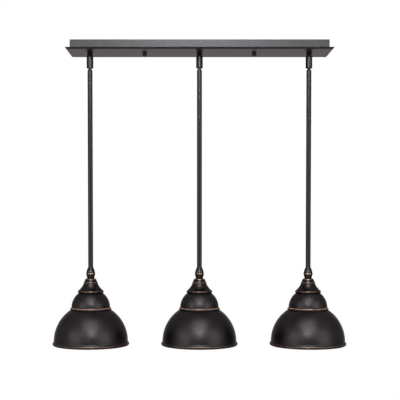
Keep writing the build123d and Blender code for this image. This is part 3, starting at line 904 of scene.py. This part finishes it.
@dataclass(frozen=True)
class Moulded:
    """Moulded plastic with a fine matte grain."""

    name: str
    color: Color
    roughness: float = 0.5

    def material(self) -> Material:
        """Builds the material.

        Returns:
            The material.
        """
        s = Shading(self.name, self.roughness)
        cloud = s.noise(90, detail=4)
        fine = s.noise(2200, detail=2)
        stops = ((0.3, tinted(self.color, 0.7)), (0.75, tinted(self.color, 1.35)))
        s.join(s.ramp(cloud, *stops), "Base Color")
        s.join(s.sway(self.roughness, fine, 0.16), "Roughness")
        s.bump(fine, 0.02)
        return s.material


@dataclass(frozen=True)
class Ground:
    """The studio's pale floor, which looks evenly bright in a mirror."""

    name: str = "studio_floor"
    color: Color = (0.885, 0.855, 0.86)
    glow: float = 0.35

    def material(self) -> Material:
        """Builds the material.

        Returns:
            The material.
        """
        s = Shading(self.name, roughness=0.9, specular=0.1)
        stops = ((0.0, tinted(self.color, 0.98)), (1.0, self.color))
        s.join(s.ramp(s.noise(1.5, detail=2), *stops), "Base Color")
        s.join((1, 1, 1, 1), "Emission Color")
        s.join(s.calc("MULTIPLY", s.seen(), self.glow), "Emission Strength")
        return s.material


class Finishes:
    """Every finish of the light, made once each."""

    def __init__(self) -> None:
        """Builds the materials."""
        # A lighter, more neutral copy of the bronze for the tray: painted light, standing in for the
        # bright lamp reflection on the canopy's front.
        self.canopy = Bronze(
            "canopy_bronze_lit_copy", roughness=0.4, dark=(0.0292, 0.0271, 0.0289),
            light=(0.0327, 0.0304, 0.0323), edge_tint=(0.62, 0.6, 0.6), uneven=0.6,
        ).material()
        self.plate = Bronze(
            "plate_bronze", roughness=0.4, dark=(0.0184, 0.0167, 0.0174),
            light=(0.0218, 0.0200, 0.0207), edge_tint=(0.71, 0.66, 0.67), uneven=0.6,
        ).material()
        # A darker copy with a dull edge tint for the canopy's edge roundings: painted shade along the
        # edges, with a faint real copper rub.
        self.canopy_edge_shade_rub = Bronze(
            "edge_shade_and_rub_bronze", rubbed=0.03, dark=(0.0100, 0.0086, 0.0090),
            light=(0.0126, 0.0108, 0.0113), edge_tint=(0.16, 0.15, 0.15),
        ).material()
        self.edge = Bronze("rubbed_edge_bronze", rubbed=0.3).material()
        self.swivel = Bronze(
            "swivel_bronze", (Band(-61.2, 1.2, 0.25),), roughness=0.2,
            edge_tint=(0.08, 0.07, 0.07), spun=True, uneven=0.5,
        ).material()
        self.stem = Bronze(
            "stem_bronze", roughness=0.23, dark=(0.0190, 0.0152, 0.0159),
            light=(0.0211, 0.0170, 0.0177), edge_tint=(0.06, 0.05, 0.05), uneven=0.25,
        ).material()
        self.knuckle = Bronze(
            "knuckle_bronze", (Band(-534.3, 0.6, 0.45),), roughness=0.16,
            dark=(0.0166, 0.0130, 0.0128), light=(0.0210, 0.0168, 0.0165),
            edge_tint=(0.3, 0.26, 0.25), spun=True, uneven=0.6,
        ).material()
        self.cap = Bronze(
            "cap_bronze",
            (Band(-547.4, 0.6, 0.36), Band(-555.0, 0.7, 0.5), Band(-575.2, 1.5, 0.06)),
            roughness=0.18, dark=(0.0174, 0.0138, 0.0138), light=(0.0219, 0.0178, 0.0178),
            spun=True, uneven=0.7,
        ).material()
        self.shade = Bronze(
            "shade_bronze", (Band(-614.45, 0.6, 1.0, 0.5), Band(-696.8, 0.9, 0.11, 0.6)),
            spun=True, uneven=0.8,
        ).material()
        self.zinc = Plated("bright_zinc").material()
        self.brass = Plated("pressed_brass", (0.62, 0.42, 0.16), (0.52, 0.33, 0.12), 0.3).material()
        self.green = Plated(
            "green_passivated", (0.03, 0.24, 0.08), (0.05, 0.30, 0.12), 0.36
        ).material()
        self.enamel = Glaze(
            "white_enamel", (0.85, 0.80, 0.775), (0.825, 0.775, 0.75), roughness=0.3,
            ripple=0.015, coat=0.1,
        ).material()
        self.porcelain = Glaze("glazed_porcelain").material()
        self.bushing = Moulded("bushing_nylon", (0.012, 0.012, 0.013)).material()
        self.ring = Moulded("ring_phenolic", (0.022, 0.017, 0.014), 0.36).material()


# ---- pieces ----


def dress(piece: Piece, *materials: Optional[Material]) -> Piece:
    """Gives a piece its materials.

    Args:
        piece: The piece.
        materials: The materials in the order of its slots, the last for all that follow.

    Returns:
        The piece.
    """
    slots = piece.data.materials
    while len(slots) < len(materials):
        slots.append(None)
    for index in range(len(slots)):
        slots[index] = materials[min(index, len(materials) - 1)]
    return piece


def fit(piece: Piece, body: str, node: str, slot: Slot, *materials: Material) -> None:
    """Dresses a finished piece and fits it to the frame.

    Args:
        piece: The piece.
        body: The body it rides on.
        node: The node it stands for.
        slot: Not used.
        materials: Its materials, in the order of its slots.
    """
    dress(piece, *materials)
    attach(piece, body)
    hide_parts(node)
    count = len(piece.data.polygons)
    log.info("%s rides on %s and stands for %s, %d faces", piece.name, body, node, count)


def hang(
    piece: Piece, name: str, node: str, slot: Slot, *materials: Material, body: str = ""
) -> None:
    """Copies a piece to each pendant, fits the copies, and removes it.

    Args:
        piece: The piece, on the axis x = 0.
        name: The copies' name, which the pendant's label ends.
        node: The name of the nodes they stand for, likewise.
        slot: Handed on to fit.
        materials: Their materials, in the order of their slots.
        body: The body they ride on, if not each pendant's own.
    """
    for pendant in Pendant:
        copy = Bench.copy_to(piece, f"{name}_{pendant.label}", pendant.value)
        fit(copy, body or pendant.body, f"{node}_{pendant.label}", slot, *materials)
    bpy.data.objects.remove(piece)


def keep_nodes(node: str, material: Material) -> None:
    """Gives a node of each pendant, which stays as it is, its material.

    Args:
        node: The nodes' name, which the pendant's label ends.
        material: The material.
    """
    for pendant in Pendant:
        dress(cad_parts[f"{node}_{pendant.label}"], material)
        log.info("%s_%s keeps its shape", node, pendant.label)


@dataclass
class Canopy:
    """The flat plate, the tray above it, and the strap, studs and nuts that hold them."""

    plate_length: float = 609.6
    plate_depth: float = 127.0
    plate_top: float = -18.4
    plate_bottom: float = PLATE_BOTTOM
    plate_land: float = 0.4
    pan_inset: float = 10.0
    pan_wall: float = 1.2
    pan_corner: float = 2.0
    stud_place: float = SPACING / 2
    stud_radius: float = 2.08
    stud_groove: float = 0.42
    stud_pitch: float = 0.794
    stud_top: float = -0.6
    stud_bottom: float = -27.6
    stud_steps: int = 20
    nut_radius: float = 5.0
    nut_height: float = 7.2
    nut_lead: Point = (1.0, 0.9)
    nut_nose: tuple[Point, ...] = ((0.0, 1.6), (0.35, 0.9), (1.3, 0.0))
    flutes: int = 30
    flute_scale: float = 0.95

    def build(self, finishes: Finishes) -> None:
        """Builds and dresses every piece of the canopy.

        Args:
            finishes: The finishes.
        """
        pair = (self.stud_place, -self.stud_place)
        studs = Bench.row(self.stud(), "threaded_studs", pair)
        nuts = Bench.row(self.cover_nut(), "cover_thumb_nuts", pair)
        zinc = finishes.zinc
        for piece, node, slot, materials in (
            # The roundings of plate and tray take the darker edge copy: painted shade along the edges.
            (self.plate(), "face_plate", Slot.BRONZE, (finishes.plate, finishes.canopy_edge_shade_rub)),
            # The tray takes the lighter copy of the bronze: painted light.
            (self.pan(), "canopy_pan", Slot.BRONZE, (finishes.canopy, finishes.canopy_edge_shade_rub)),
            (nuts, "cover_nuts", Slot.BRONZE, (finishes.swivel,)),
            (studs, "strap_studs", Slot.ZINC, (zinc,)),
        ):
            fit(piece, "canopy", node, slot, *materials)
        for node, name, width, material, slot in (
            ("mounting_strap", "joggled_strap", 0.25, zinc, Slot.ZINC),
            ("stud_jam_nuts", "jam_nuts", 0.15, zinc, Slot.ZINC),
            ("swivel_nuts", "shank_nuts", 0.2, zinc, Slot.ZINC),
            ("swivel_lock_washers", "spring_washers", 0.15, zinc, Slot.ZINC),
            ("ground_screw", "earth_screw", 0.15, finishes.green, Slot.GREEN),
        ):
            fit(Bench.from_node(node, name, width), "canopy", node, slot, material)

    def plate(self) -> Piece:
        """Makes the wide plate with its bevelled lower edge.

        Returns:
            The plate.
        """
        height = self.plate_top - self.plate_bottom
        middle = (self.plate_top + self.plate_bottom) / 2
        size = (self.plate_length, self.plate_depth, height)
        piece = Bench.block("canopy_plate", size, (0, 0, middle))
        Bench.pick_level(piece, self.plate_bottom)
        bevel = (height - self.plate_land) * MM
        bpy.ops.mesh.bevel(offset=bevel, offset_type="OFFSET", segments=1)
        Bench.leave()
        return Bench.soften(piece, width=0.18, angle=20, segments=3, smooth=25)

    def pan(self) -> Piece:
        """Makes the folded tray between the plate and the ceiling.

        Returns:
            The tray.
        """
        inset = 2 * self.pan_inset
        size = (self.plate_length - inset, self.plate_depth - inset, -self.plate_top)
        piece = Bench.block("canopy_tray", size, (0, 0, self.plate_top / 2))
        Bench.pick(piece, Element.FACE, lambda face: face.normal.z > 0.9)
        bpy.ops.mesh.delete(type="FACE")
        Bench.pick(piece, Element.EDGE, lambda a, b: abs(a.z - b.z) > TINY)
        bpy.ops.mesh.bevel(offset=self.pan_corner * MM, offset_type="OFFSET", segments=5)
        Bench.leave()
        thickness = self.pan_wall * MM
        Bench.apply(piece, "SOLIDIFY", thickness=thickness, offset=-1, use_even_offset=True)
        return Bench.soften(piece, width=0.3, angle=40, smooth=35)

    def cover_nut(self) -> Piece:
        """Makes a blind thumb nut with a straight knurl.

        Returns:
            The nut.
        """
        r, top, bottom = self.nut_radius, self.plate_bottom, self.plate_bottom - self.nut_height
        outline = Outline((0, top), (r - self.nut_lead[0], top), (r, top - self.nut_lead[1]))
        outline.line(*((r - inset, bottom + rise) for inset, rise in self.nut_nose), (0, bottom))
        piece = Bench.turn("cover_nut", outline, 2 * self.flutes)

        def groove(co: Vector) -> bool:
            """Whether a vertex lies on a groove of the knurl."""
            phase = math.atan2(co.y, co.x) / CIRCLE * self.flutes % 1
            return math.hypot(co.x, co.y) > r * MM - 10 * TINY and abs(phase - 0.5) < 0.25

        Bench.enter(piece)
        Bench.pick(piece, Element.VERTEX, groove)
        Bench.scale_round(self.flute_scale)
        Bench.leave()
        return Bench.settle(piece, smooth=50)

    def stud(self) -> Piece:
        """Makes one of the threaded studs between strap and nuts.

        Returns:
            The stud.
        """
        return Bench.thread(
            "stud", self.stud_radius, self.stud_groove, self.stud_pitch,
            (self.stud_top, self.stud_bottom), self.stud_steps,
        )


@dataclass
class Swivel:
    """A hang-straight swivel: shank, bushing, barrel, key pins and ball stud."""

    plate_bottom: float = PLATE_BOTTOM
    shank_radius: float = 4.85
    shank_groove: float = 0.5
    shank_pitch: float = 0.94
    shank_bore: float = 3.2
    shank_top: float = -10.0
    shank_bottom: float = -34.4
    shank_room: float = 4.9
    shank_steps: int = 32
    collar_radius: float = 6.25
    collar_end: float = -29.4
    flare: float = 2.2
    barrel_radius: float = 7.7
    barrel_bottom: float = -57.5
    chamfer: float = 0.8
    pivot: float = -53.1
    ball_radius: float = 6.2
    seat_clearance: float = 0.08
    headroom: float = 1.8
    lip_radius: float = 5.8
    lip_flare: float = 6.7
    bushing_room: float = 0.05
    bushing_wall: float = 0.7
    bushing_head: float = 1.2
    bushing_edge: float = 0.7
    bushing_skirt: float = 3.0
    wire_bore: float = 2.0
    neck_radius: float = 3.7
    neck_length: float = 7.3
    shoulder_radius: float = 4.6
    shoulder_drop: float = 0.9
    stem_radius: float = STEM_RADIUS
    stem_top: float = STEM_TOP
    thread_radius: float = 4.65
    thread_end: float = -74.6

    def build(self, finishes: Finishes) -> None:
        """Builds and dresses the swivels of all three pendants.

        Args:
            finishes: The finishes.
        """
        bushings = Bench.row(self.bushing(), "nylon_bushings", [p.value for p in Pendant])
        fit(bushings, "canopy", "wire_bushings", Slot.BUSHING, finishes.bushing)
        shank = Bench.thread(
            "shank", self.shank_radius, self.shank_groove, self.shank_pitch,
            (self.shank_top, self.shank_bottom), self.shank_steps, self.shank_bore,
        )
        hang(shank, "threaded_shank", "shank", Slot.ZINC, finishes.zinc, body="canopy")
        turned = (Slot.BRONZE, finishes.swivel, finishes.edge)
        hang(self.barrel(), "barrel", "swivel_barrel", *turned, body="canopy")
        hang(self.ball_stud(), "ball_and_neck", "ball_stud", *turned)
        keep_nodes("key_pins", finishes.zinc)

    def bushing(self) -> Piece:
        """Makes a nylon bushing for a shank's upper end.

        Returns:
            The bushing.
        """
        outside, edge, seat = self.shank_radius, self.bushing_edge, self.shank_top
        skirt = self.shank_bore - self.bushing_room
        bore = skirt - self.bushing_wall
        head, end = seat + self.bushing_head, seat - self.bushing_skirt
        outline = Outline(
            (bore, head), (outside - edge, head), (outside, head - edge), (outside, seat),
            (skirt, seat), (skirt, end), (bore, end),
        ).closed()
        return Bench.soften(Bench.turn("bushing", outline, segments=48), width=0.15)

    def barrel(self) -> Piece:
        """Makes the turned barrel with its seat and swaged lip.

        Returns:
            The barrel.
        """
        seat = self.ball_radius + self.seat_clearance
        drop = math.sqrt(seat ** 2 - self.lip_radius ** 2)
        chamber = self.pivot + self.ball_radius + self.headroom
        bottom, outside = self.barrel_bottom, self.barrel_radius
        outline = Outline(
            (self.shank_room, self.plate_bottom), (self.collar_radius, self.plate_bottom),
            (self.collar_radius, self.collar_end), (outside, self.collar_end - self.flare),
            (outside, bottom + self.chamfer), (outside - self.chamfer, bottom),
            (self.lip_flare, bottom), (self.lip_radius, self.pivot - drop), step=12,
        )
        outline.sweep((0, self.pivot), -math.asin(drop / seat), 0.0, seat)
        outline.line((seat, chamber), (self.shank_bore, chamber))
        outline.line((self.shank_bore, self.shank_bottom), (self.shank_room, self.shank_bottom))
        return Bench.soften(Bench.turn("barrel", outline.closed()), width=0.22, angle=30)

    def ball_stud(self) -> Piece:
        """Makes the ball with its bore, neck, shoulder and thread.

        Returns:
            The stud.
        """
        neck_end = self.pivot - self.neck_length
        first = math.acos(self.wire_bore / self.ball_radius)
        last = -math.acos(self.neck_radius / self.ball_radius)
        outline = Outline(step=9).sweep((0, self.pivot), first, last, self.ball_radius).line(
            (self.neck_radius, neck_end), (self.shoulder_radius, neck_end - self.shoulder_drop),
            (self.stem_radius, self.stem_top), (self.thread_radius, self.stem_top),
            (self.thread_radius, self.thread_end), (self.wire_bore, self.thread_end),
        ).closed()
        return Bench.soften(Bench.turn("ball_stud", outline, segments=80), width=0.18, angle=24)


@dataclass
class Drop:
    """What hangs between swivel and shade: stem, knuckle and stepped cap."""

    stem_radius: float = STEM_RADIUS
    stem_bore: float = 4.7
    stem_top: float = STEM_TOP
    stem_bottom: float = -519.8
    cap_top: float = -546.0
    cap_bottom: float = -580.0
    bore: float = 4.8
    knuckle_top_radius: float = 6.0
    knuckle_radius: float = 10.9
    upper_arc: float = 38.6
    lower_arc: float = 45.0
    ridge_drop: float = 15.7
    ridge_height: float = 1.8
    ridge_proud: float = 0.35
    foot_radius: float = 8.4
    foot_band: float = 1.0
    wall: float = 1.2
    cap_top_radius: float = 12.4
    cap_edge: float = 0.6
    cone_height: float = 9.0
    cone_radius: float = 16.0
    bead_height: float = 2.6
    bead_radius: float = 17.1
    bead_step: float = 0.4
    waist_height: float = 13.0
    waist_radius: float = 17.0
    flare_arc: float = 45.5
    lip_radius: float = 29.1
    flange_height: float = 6.2
    flange_radius: float = 30.3
    edge_inside: float = 27.97
    edge_width: float = 0.4

    def build(self, finishes: Finishes) -> None:
        """Builds and dresses stem, knuckle and cap of all three pendants.

        Args:
            finishes: The finishes.
        """
        for piece, name, node, finish in (
            (self.stem(), "tube_stem", "stem", finishes.stem),
            (self.knuckle(), "egg_knuckle", "knuckle", finishes.knuckle),
            (self.cap(), "stepped_cap", "cap", finishes.cap),
        ):
            hang(piece, name, node, Slot.BRONZE, finish, finishes.edge)
        keep_nodes("cap_nipple", finishes.zinc)
        keep_nodes("cap_lock_nut", finishes.zinc)

    def stem(self) -> Piece:
        """Makes the straight tube.

        Returns:
            The tube.
        """
        outline = Outline(
            (self.stem_bore, self.stem_top), (self.stem_radius, self.stem_top),
            (self.stem_radius, self.stem_bottom), (self.stem_bore, self.stem_bottom),
        ).closed()
        return Bench.soften(Bench.turn("tube", outline, segments=80), width=0.3, angle=30, segments=3)

    def knuckle(self) -> Piece:
        """Makes the egg-shaped coupling with its ridge.

        Returns:
            The coupling.
        """
        ridge, half = self.stem_bottom - self.ridge_drop, self.ridge_height / 2
        beside = self.knuckle_radius - self.ridge_proud
        outline = Outline(
            (self.bore, self.stem_bottom), (self.knuckle_top_radius, self.stem_bottom), step=4
        )
        outline.bow((beside, ridge + half), self.upper_arc)
        outline.every(30).through((self.knuckle_radius, ridge), (beside, ridge - half))
        outline.every(4).bow((self.foot_radius, self.cap_top + self.foot_band), -self.lower_arc)
        outline.line((self.foot_radius, self.cap_top), (self.bore, self.cap_top))
        return Bench.soften(Bench.turn("egg", outline.closed()), width=0.2, angle=30)

    def cap(self) -> Piece:
        """Makes the stepped cap: cone, bead, waist, trumpet flare and flange.

        Returns:
            The cap.
        """
        top, bottom, wall = self.cap_top, self.cap_bottom, self.wall
        cone_end, waist = top - self.cone_height, top - self.waist_height
        flange_top = bottom + self.flange_height
        lip = (self.lip_radius - wall, flange_top - wall)
        outline = Outline(
            (self.bore, top), (self.cap_top_radius - self.cap_edge, top),
            (self.cap_top_radius, top - self.cap_edge), (self.cone_radius, cone_end), step=8,
        )
        outline.through(
            (self.bead_radius, cone_end - self.bead_height / 2),
            (self.cone_radius + self.bead_step, cone_end - self.bead_height),
        )
        outline.line((self.waist_radius, waist))
        outline.every(3).bow((self.lip_radius, flange_top), -self.flare_arc)
        outline.every(10).through(
            (self.flange_radius, (flange_top + bottom) / 2),
            (self.edge_inside + self.edge_width, bottom),
        )
        outline.line((self.edge_inside, bottom), lip)
        inner = Outline((self.waist_radius - wall, waist), step=3).bow(lip, -self.flare_arc)
        outline.line(*reversed(inner.points[:-1]))
        outline.line((self.cap_top_radius - wall, top - wall), (self.bore, top - wall))
        return Bench.soften(Bench.turn("stepped", outline.closed(), segments=128), width=0.25, angle=30)


@dataclass
class Lampholder:
    """The porcelain socket with its screw shell, contact and shade ring."""

    nipple: float = 4.7
    top: float = -551.2
    boss_radius: float = 9.5
    boss_height: float = 7.0
    head_radius: float = 15.5
    head_height: float = 13.0
    slope: float = 4.0
    flange_radius: float = 22.3
    flange_height: float = 4.0
    shade_top: float = SHADE_TOP
    shade_wall: float = SHADE_WALL
    skirt_radius: float = 19.8
    skirt_groove: float = 0.75
    skirt_pitch: float = 2.54
    skirt_slope: float = 0.35
    skirt_lead: float = 1.2
    skirt_run: float = 1.6
    skirt_chamfer: float = 1.0
    bottom: float = -613.0
    nipple_end: float = -560.2
    shell_room: float = 14.0
    shell_top: float = -584.0
    shell_shoulder: float = 2.0
    shell_bottom: float = -611.0
    shell_crest: float = 13.75
    shell_root: float = 12.75
    shell_wall: float = 0.35
    shell_eye: float = 7.0
    shell_pitch: float = 3.63
    shell_steps: int = 56
    shell_parts: int = 10
    shell_trim: float = 0.02
    shell_close: tuple[Point, ...] = ((13.6, 0.8), (13.0, 0.85), (12.0, 0.3))
    contact_seat: float = SHADE_TOP
    ring_bore: float = 19.9
    ring_flange: float = 25.0
    ring_flange_height: float = 2.5
    ring_radius: float = 23.0
    ring_height: float = 9.0
    ring_step: float = 0.3
    notches: int = 8
    notch_width: float = 4.0
    notch_depth: float = 1.2

    def build(self, finishes: Finishes) -> None:
        """Builds and dresses the lampholders of all three pendants.

        Args:
            finishes: The finishes.
        """
        hang(self.body(), "porcelain", "socket_body", Slot.PORCELAIN, finishes.porcelain)
        hang(self.shell(), "rolled_shell", "screw_shell", Slot.BRASS, finishes.brass)
        hang(self.ring(), "notched_ring", "shade_ring", Slot.RING, finishes.ring)
        for pendant in Pendant:
            node = f"center_contact_{pendant.label}"
            leaf = Bench.from_node(node, f"leaf_contact_{pendant.label}", width=0.1, angle=30)
            fit(leaf, pendant.body, node, Slot.BRASS, finishes.brass)

    def body(self) -> Piece:
        """Makes the porcelain body with a coarse thread on its skirt.

        Returns:
            The body.
        """
        head_top = self.top - self.boss_height
        outline = Outline(
            (0, self.nipple_end), (self.nipple, self.nipple_end), (self.nipple, self.top),
            (self.boss_radius, self.top), (self.boss_radius, head_top),
            (self.head_radius, head_top - self.slope),
            (self.head_radius, head_top - self.head_height),
            (self.flange_radius, self.shade_top + self.flange_height),
            (self.flange_radius, self.shade_top), (self.skirt_radius, self.shade_top),
        )
        height, pitch, crest = self.shade_top - self.skirt_lead, self.skirt_pitch, self.skirt_radius
        root, chamfer = crest - self.skirt_groove, self.skirt_chamfer
        while height - pitch > self.bottom + self.skirt_run:
            outline.line((crest, height), (root, height - pitch * self.skirt_slope))
            height -= pitch
            outline.line((root, height + pitch * self.skirt_slope), (crest, height))
        outline.line(
            (crest, self.bottom + chamfer), (crest - chamfer, self.bottom),
            (self.shell_room, self.bottom), (self.shell_room, self.shell_top),
            (self.shell_eye, self.shell_top), (self.shell_eye, self.contact_seat),
            (0, self.contact_seat),
        )
        return Bench.soften(Bench.turn("body", outline), width=0.35, angle=20, smooth=40)

    def shell(self) -> Piece:
        """Makes the brass shell with its rolled thread and the eye in its closed end.

        Returns:
            The shell.
        """
        pitch, start = self.shell_pitch, self.shell_bottom - self.shell_pitch
        middle = (self.shell_crest + self.shell_root) / 2
        swing = (self.shell_crest - self.shell_root) / 2
        shares = [part / self.shell_parts for part in range(self.shell_parts + 1)]
        wave = Outline(*(
            (middle + swing * math.cos(CIRCLE * share), start + pitch * share) for share in shares
        ))
        turns = math.ceil((self.shell_top - self.shell_bottom) / pitch) + 2
        top = self.shell_top - self.shell_shoulder
        ends = (top, self.shell_bottom + self.shell_trim)
        piece = Bench.wind("shell", wave, pitch, turns, ends, self.shell_steps)
        Bench.pick_level(piece, top)
        radius = self.shell_crest
        for target, rise in (*self.shell_close, (self.shell_eye, 0.0)):
            bpy.ops.mesh.extrude_region_move(TRANSFORM_OT_translate={"value": (0, 0, rise * MM)})
            Bench.scale_round(target / radius)
            radius = target
        Bench.turn_out()
        thickness = self.shell_wall * MM
        Bench.apply(piece, "SOLIDIFY", thickness=thickness, offset=-1, use_even_offset=True)
        return Bench.settle(piece, smooth=40)

    def ring(self) -> Piece:
        """Makes the ring that clamps the shade, with notches for the fingers.

        Returns:
            The ring.
        """
        radius, top = self.ring_radius, self.shade_top - self.shade_wall
        flange_bottom, bottom = top - self.ring_flange_height, top - self.ring_height
        outline = Outline(
            (self.ring_bore, top), (self.ring_flange, top), (self.ring_flange, flange_bottom),
            (radius, flange_bottom - self.ring_step), (radius, bottom), (self.ring_bore, bottom),
        ).closed()
        piece = Bench.turn("ring", outline, segments=144)
        half, part = self.notch_width / 2 / radius, CIRCLE / self.notches

        def in_notch(co: Vector) -> bool:
            """Whether a vertex lies on the wall of a notch."""
            off = (math.atan2(co.y, co.x) + part / 2) % part - part / 2
            return abs(off) < half and abs(math.hypot(co.x, co.y) - radius * MM) < 10 * TINY

        Bench.enter(piece)
        Bench.pick(piece, Element.VERTEX, in_notch)
        Bench.scale_round(1 - self.notch_depth / radius)
        Bench.leave()
        return Bench.soften(piece, width=0.25, angle=35, smooth=40)


@dataclass
class Shade:
    """The spun double-dome shade with its bead and rolled rim."""

    top: float = SHADE_TOP
    wall: float = SHADE_WALL
    fitter: float = 20.3
    small_arc: float = 42.5
    small_radius: float = 45.1
    small_height: float = 35.6
    bead_radius: float = 48.1
    bead_start: float = 33.0
    bead_neck: float = 36.3
    bead_neck_radius: float = 46.8
    bead_fillet: float = 3.2
    bead_middle: float = 38.9
    bead_end: float = 41.2
    bead_end_radius: float = 47.5
    big_radius: float = 86.5
    big_height: float = 114.5
    rim_start: float = 112.5
    rim_bare: float = 115.5
    rim_neck: float = 117.4
    rim_neck_radius: float = 88.4
    rim_fillet: float = 6.0
    rim_middle: float = 120.6
    rim_radius: float = 89.6
    rim_curl: float = 3.6
    rim_turn: float = -1.28 * math.pi
    segments: int = 176

    def outside(self) -> Outline:
        """Draws the outside, from the fitter hole over both domes to the rolled rim.

        Returns:
            The outline.
        """
        top = self.top
        run, rise = self.big_radius - self.bead_end_radius, self.big_height - self.bead_end
        small_arc, big_arc = self.small_arc, (rise ** 2 + run ** 2) / (2 * run)
        small_center = (self.small_radius - small_arc, top - self.small_height)
        big_center = (self.big_radius - big_arc, top - self.big_height)
        small_low, big_low = self.small_height - self.bead_start, self.big_height - self.rim_start
        curl, middle = self.rim_radius - self.rim_curl, top - self.rim_middle
        outline = Outline((self.fitter, top), step=2.5)
        outline.sweep(
            small_center, math.asin(self.small_height / small_arc),
            math.asin(small_low / small_arc), small_arc,
        )
        outline.every(14).bow((self.bead_neck_radius, top - self.bead_neck), -self.bead_fillet)
        outline.through(
            (self.bead_radius, top - self.bead_middle), (self.bead_end_radius, top - self.bead_end)
        )
        outline.every(2).sweep(
            big_center, math.asin(rise / big_arc), math.asin(big_low / big_arc), big_arc
        )
        outline.every(12).bow((self.rim_neck_radius, top - self.rim_neck), -self.rim_fillet)
        outline.through((self.rim_radius, middle), (curl, middle - self.rim_curl))
        return outline.sweep((curl, middle), -math.pi / 2, self.rim_turn, self.rim_curl)

    def build(self, finishes: Finishes) -> None:
        """Builds and dresses the three shades.

        Args:
            finishes: The finishes.
        """
        piece = Bench.turn("shade", self.outside(), self.segments)
        self.aim_out(piece)
        Bench.apply(
            piece, "SOLIDIFY", thickness=self.wall * MM, offset=-1, use_even_offset=True,
            material_offset=1,
        )
        for face in piece.data.polygons:
            if face.center.z < (self.top - self.rim_bare) * MM:
                face.material_index = 0
        Bench.settle(piece, smooth=40)
        hang(piece, "spun_shade", "shade", Slot.BRONZE_SHADE, finishes.shade, finishes.enamel)

    def aim_out(self, piece: Piece) -> None:
        """Turns the open skin's faces outwards, judged by its widest dome.

        Args:
            piece: The skin, which gets its two material slots.
        """
        domes = [f for f in piece.data.polygons if f.center.z > (self.top - self.rim_start) * MM]
        if max(domes, key=lambda face: face.center.x).normal.x < 0:
            Bench.enter(piece)
            bpy.ops.mesh.select_all(action="SELECT")
            bpy.ops.mesh.flip_normals()
            Bench.leave()
        dress(piece, None, None)


# ---- studio ----


@dataclass(frozen=True)
class Softbox:
    """One lamp, aimed at a point of the light, with its place given by angles in degrees."""

    name: str
    azimuth: float
    elevation: float
    distance: float
    width: float
    level: float
    height: Optional[float] = None
    aim: Triple = (0.0, 0.0, -0.62)
    color: Color = (0.92, 1.0, 0.99)

    def build(self) -> None:
        """Adds the lamp, at the power that lights a white card to its level."""
        az, el = math.radians(self.azimuth), math.radians(self.elevation)
        away = Vector((math.sin(az) * math.cos(el), -math.cos(az) * math.cos(el), math.sin(el)))
        lamp = bpy.data.lights.new(self.name, "AREA")
        lamp.color = self.color
        lamp.shape = "RECTANGLE"
        lamp.size = self.width
        lamp.size_y = self.height or self.width
        lamp.energy = math.pi ** 2 * self.distance ** 2 * self.level
        holder = bpy.data.objects.new(self.name, lamp)
        bpy.context.scene.collection.objects.link(holder)
        holder.location = Vector(self.aim) + away * self.distance
        holder.rotation_euler = (-away).to_track_quat("-Z", "Y").to_euler()
        log.info("softbox %s at level %.2f", self.name, self.level)


@dataclass
class Studio:
    """Floor, world, softboxes and camera."""

    floor_height: float = -2.7
    floor_radius: float = 8.4
    ambient: float = 0.2
    boxes: tuple[Softbox, ...] = (
        Softbox("key", azimuth=0, elevation=47, distance=6.0, width=4.3, level=1.12),
        Softbox("left", azimuth=-47, elevation=11.5, distance=4.0, width=2.6, level=0.5),
        Softbox("right", azimuth=47, elevation=11.5, distance=4.0, width=2.6, level=0.5),
        Softbox(
            "top", azimuth=0, elevation=9.5, distance=1.8, width=0.32, level=0.56, height=0.3,
            aim=(0.0, 0.0, -0.01),
        ),
    )
    camera_place: Triple = (-0.02006, -2.3624, -0.4031)
    pitch: float = 2.051
    lens: float = 91.092
    sensor: float = 36.0
    shift: Point = (0.02298, 0.13406)
    reach: float = 100.0

    def build(self) -> None:
        """Sets up everything round the light."""
        self.floor()
        self.world()
        for box in self.boxes:
            box.build()
        self.camera()
        bpy.context.scene.view_settings.view_transform = "Standard"

    def floor(self) -> None:
        """Lays the pale floor, far below the hanging light."""
        Bench.free()
        bpy.ops.mesh.primitive_circle_add(
            vertices=96, radius=self.floor_radius, fill_type="NGON",
            location=(0, 0, self.floor_height),
        )
        floor = dress(Bench.settle(Bench.added("studio_floor")), Ground().material())

    def world(self) -> None:
        """Makes the world white where it is seen or mirrored, and a soft level elsewhere."""
        world = bpy.data.worlds.new("studio")
        world.use_nodes = True
        nodes = Nodes(world.node_tree)
        back = world.node_tree.nodes["Background"].inputs
        nodes.feed(back["Color"], (1, 1, 1, 1))
        level = nodes.add("ShaderNodeMapRange", {"Value": nodes.seen(), "To Min": self.ambient})
        nodes.feed(back["Strength"], level.outputs["Result"])
        bpy.context.scene.world = world

    def camera(self) -> None:
        """Sets the camera at the photograph's place."""
        data = bpy.data.cameras.new("camera")
        data.lens = self.lens
        data.sensor_width = self.sensor
        data.shift_x, data.shift_y = self.shift
        data.clip_end = self.reach
        holder = bpy.data.objects.new("camera", data)
        bpy.context.scene.collection.objects.link(holder)
        holder.location = self.camera_place
        holder.rotation_euler = (math.radians(90 - self.pitch), 0, 0)
        bpy.context.scene.camera = holder


def main() -> None:
    """Builds the light and the studio."""
    logging.basicConfig(level=logging.INFO, format="%(name)s: %(message)s")
    finishes = Finishes()
    for part in (Canopy(), Swivel(), Drop(), Lampholder(), Shade()):
        part.build(finishes)
    Studio().build()


if __name__ == "__main__":
    main()
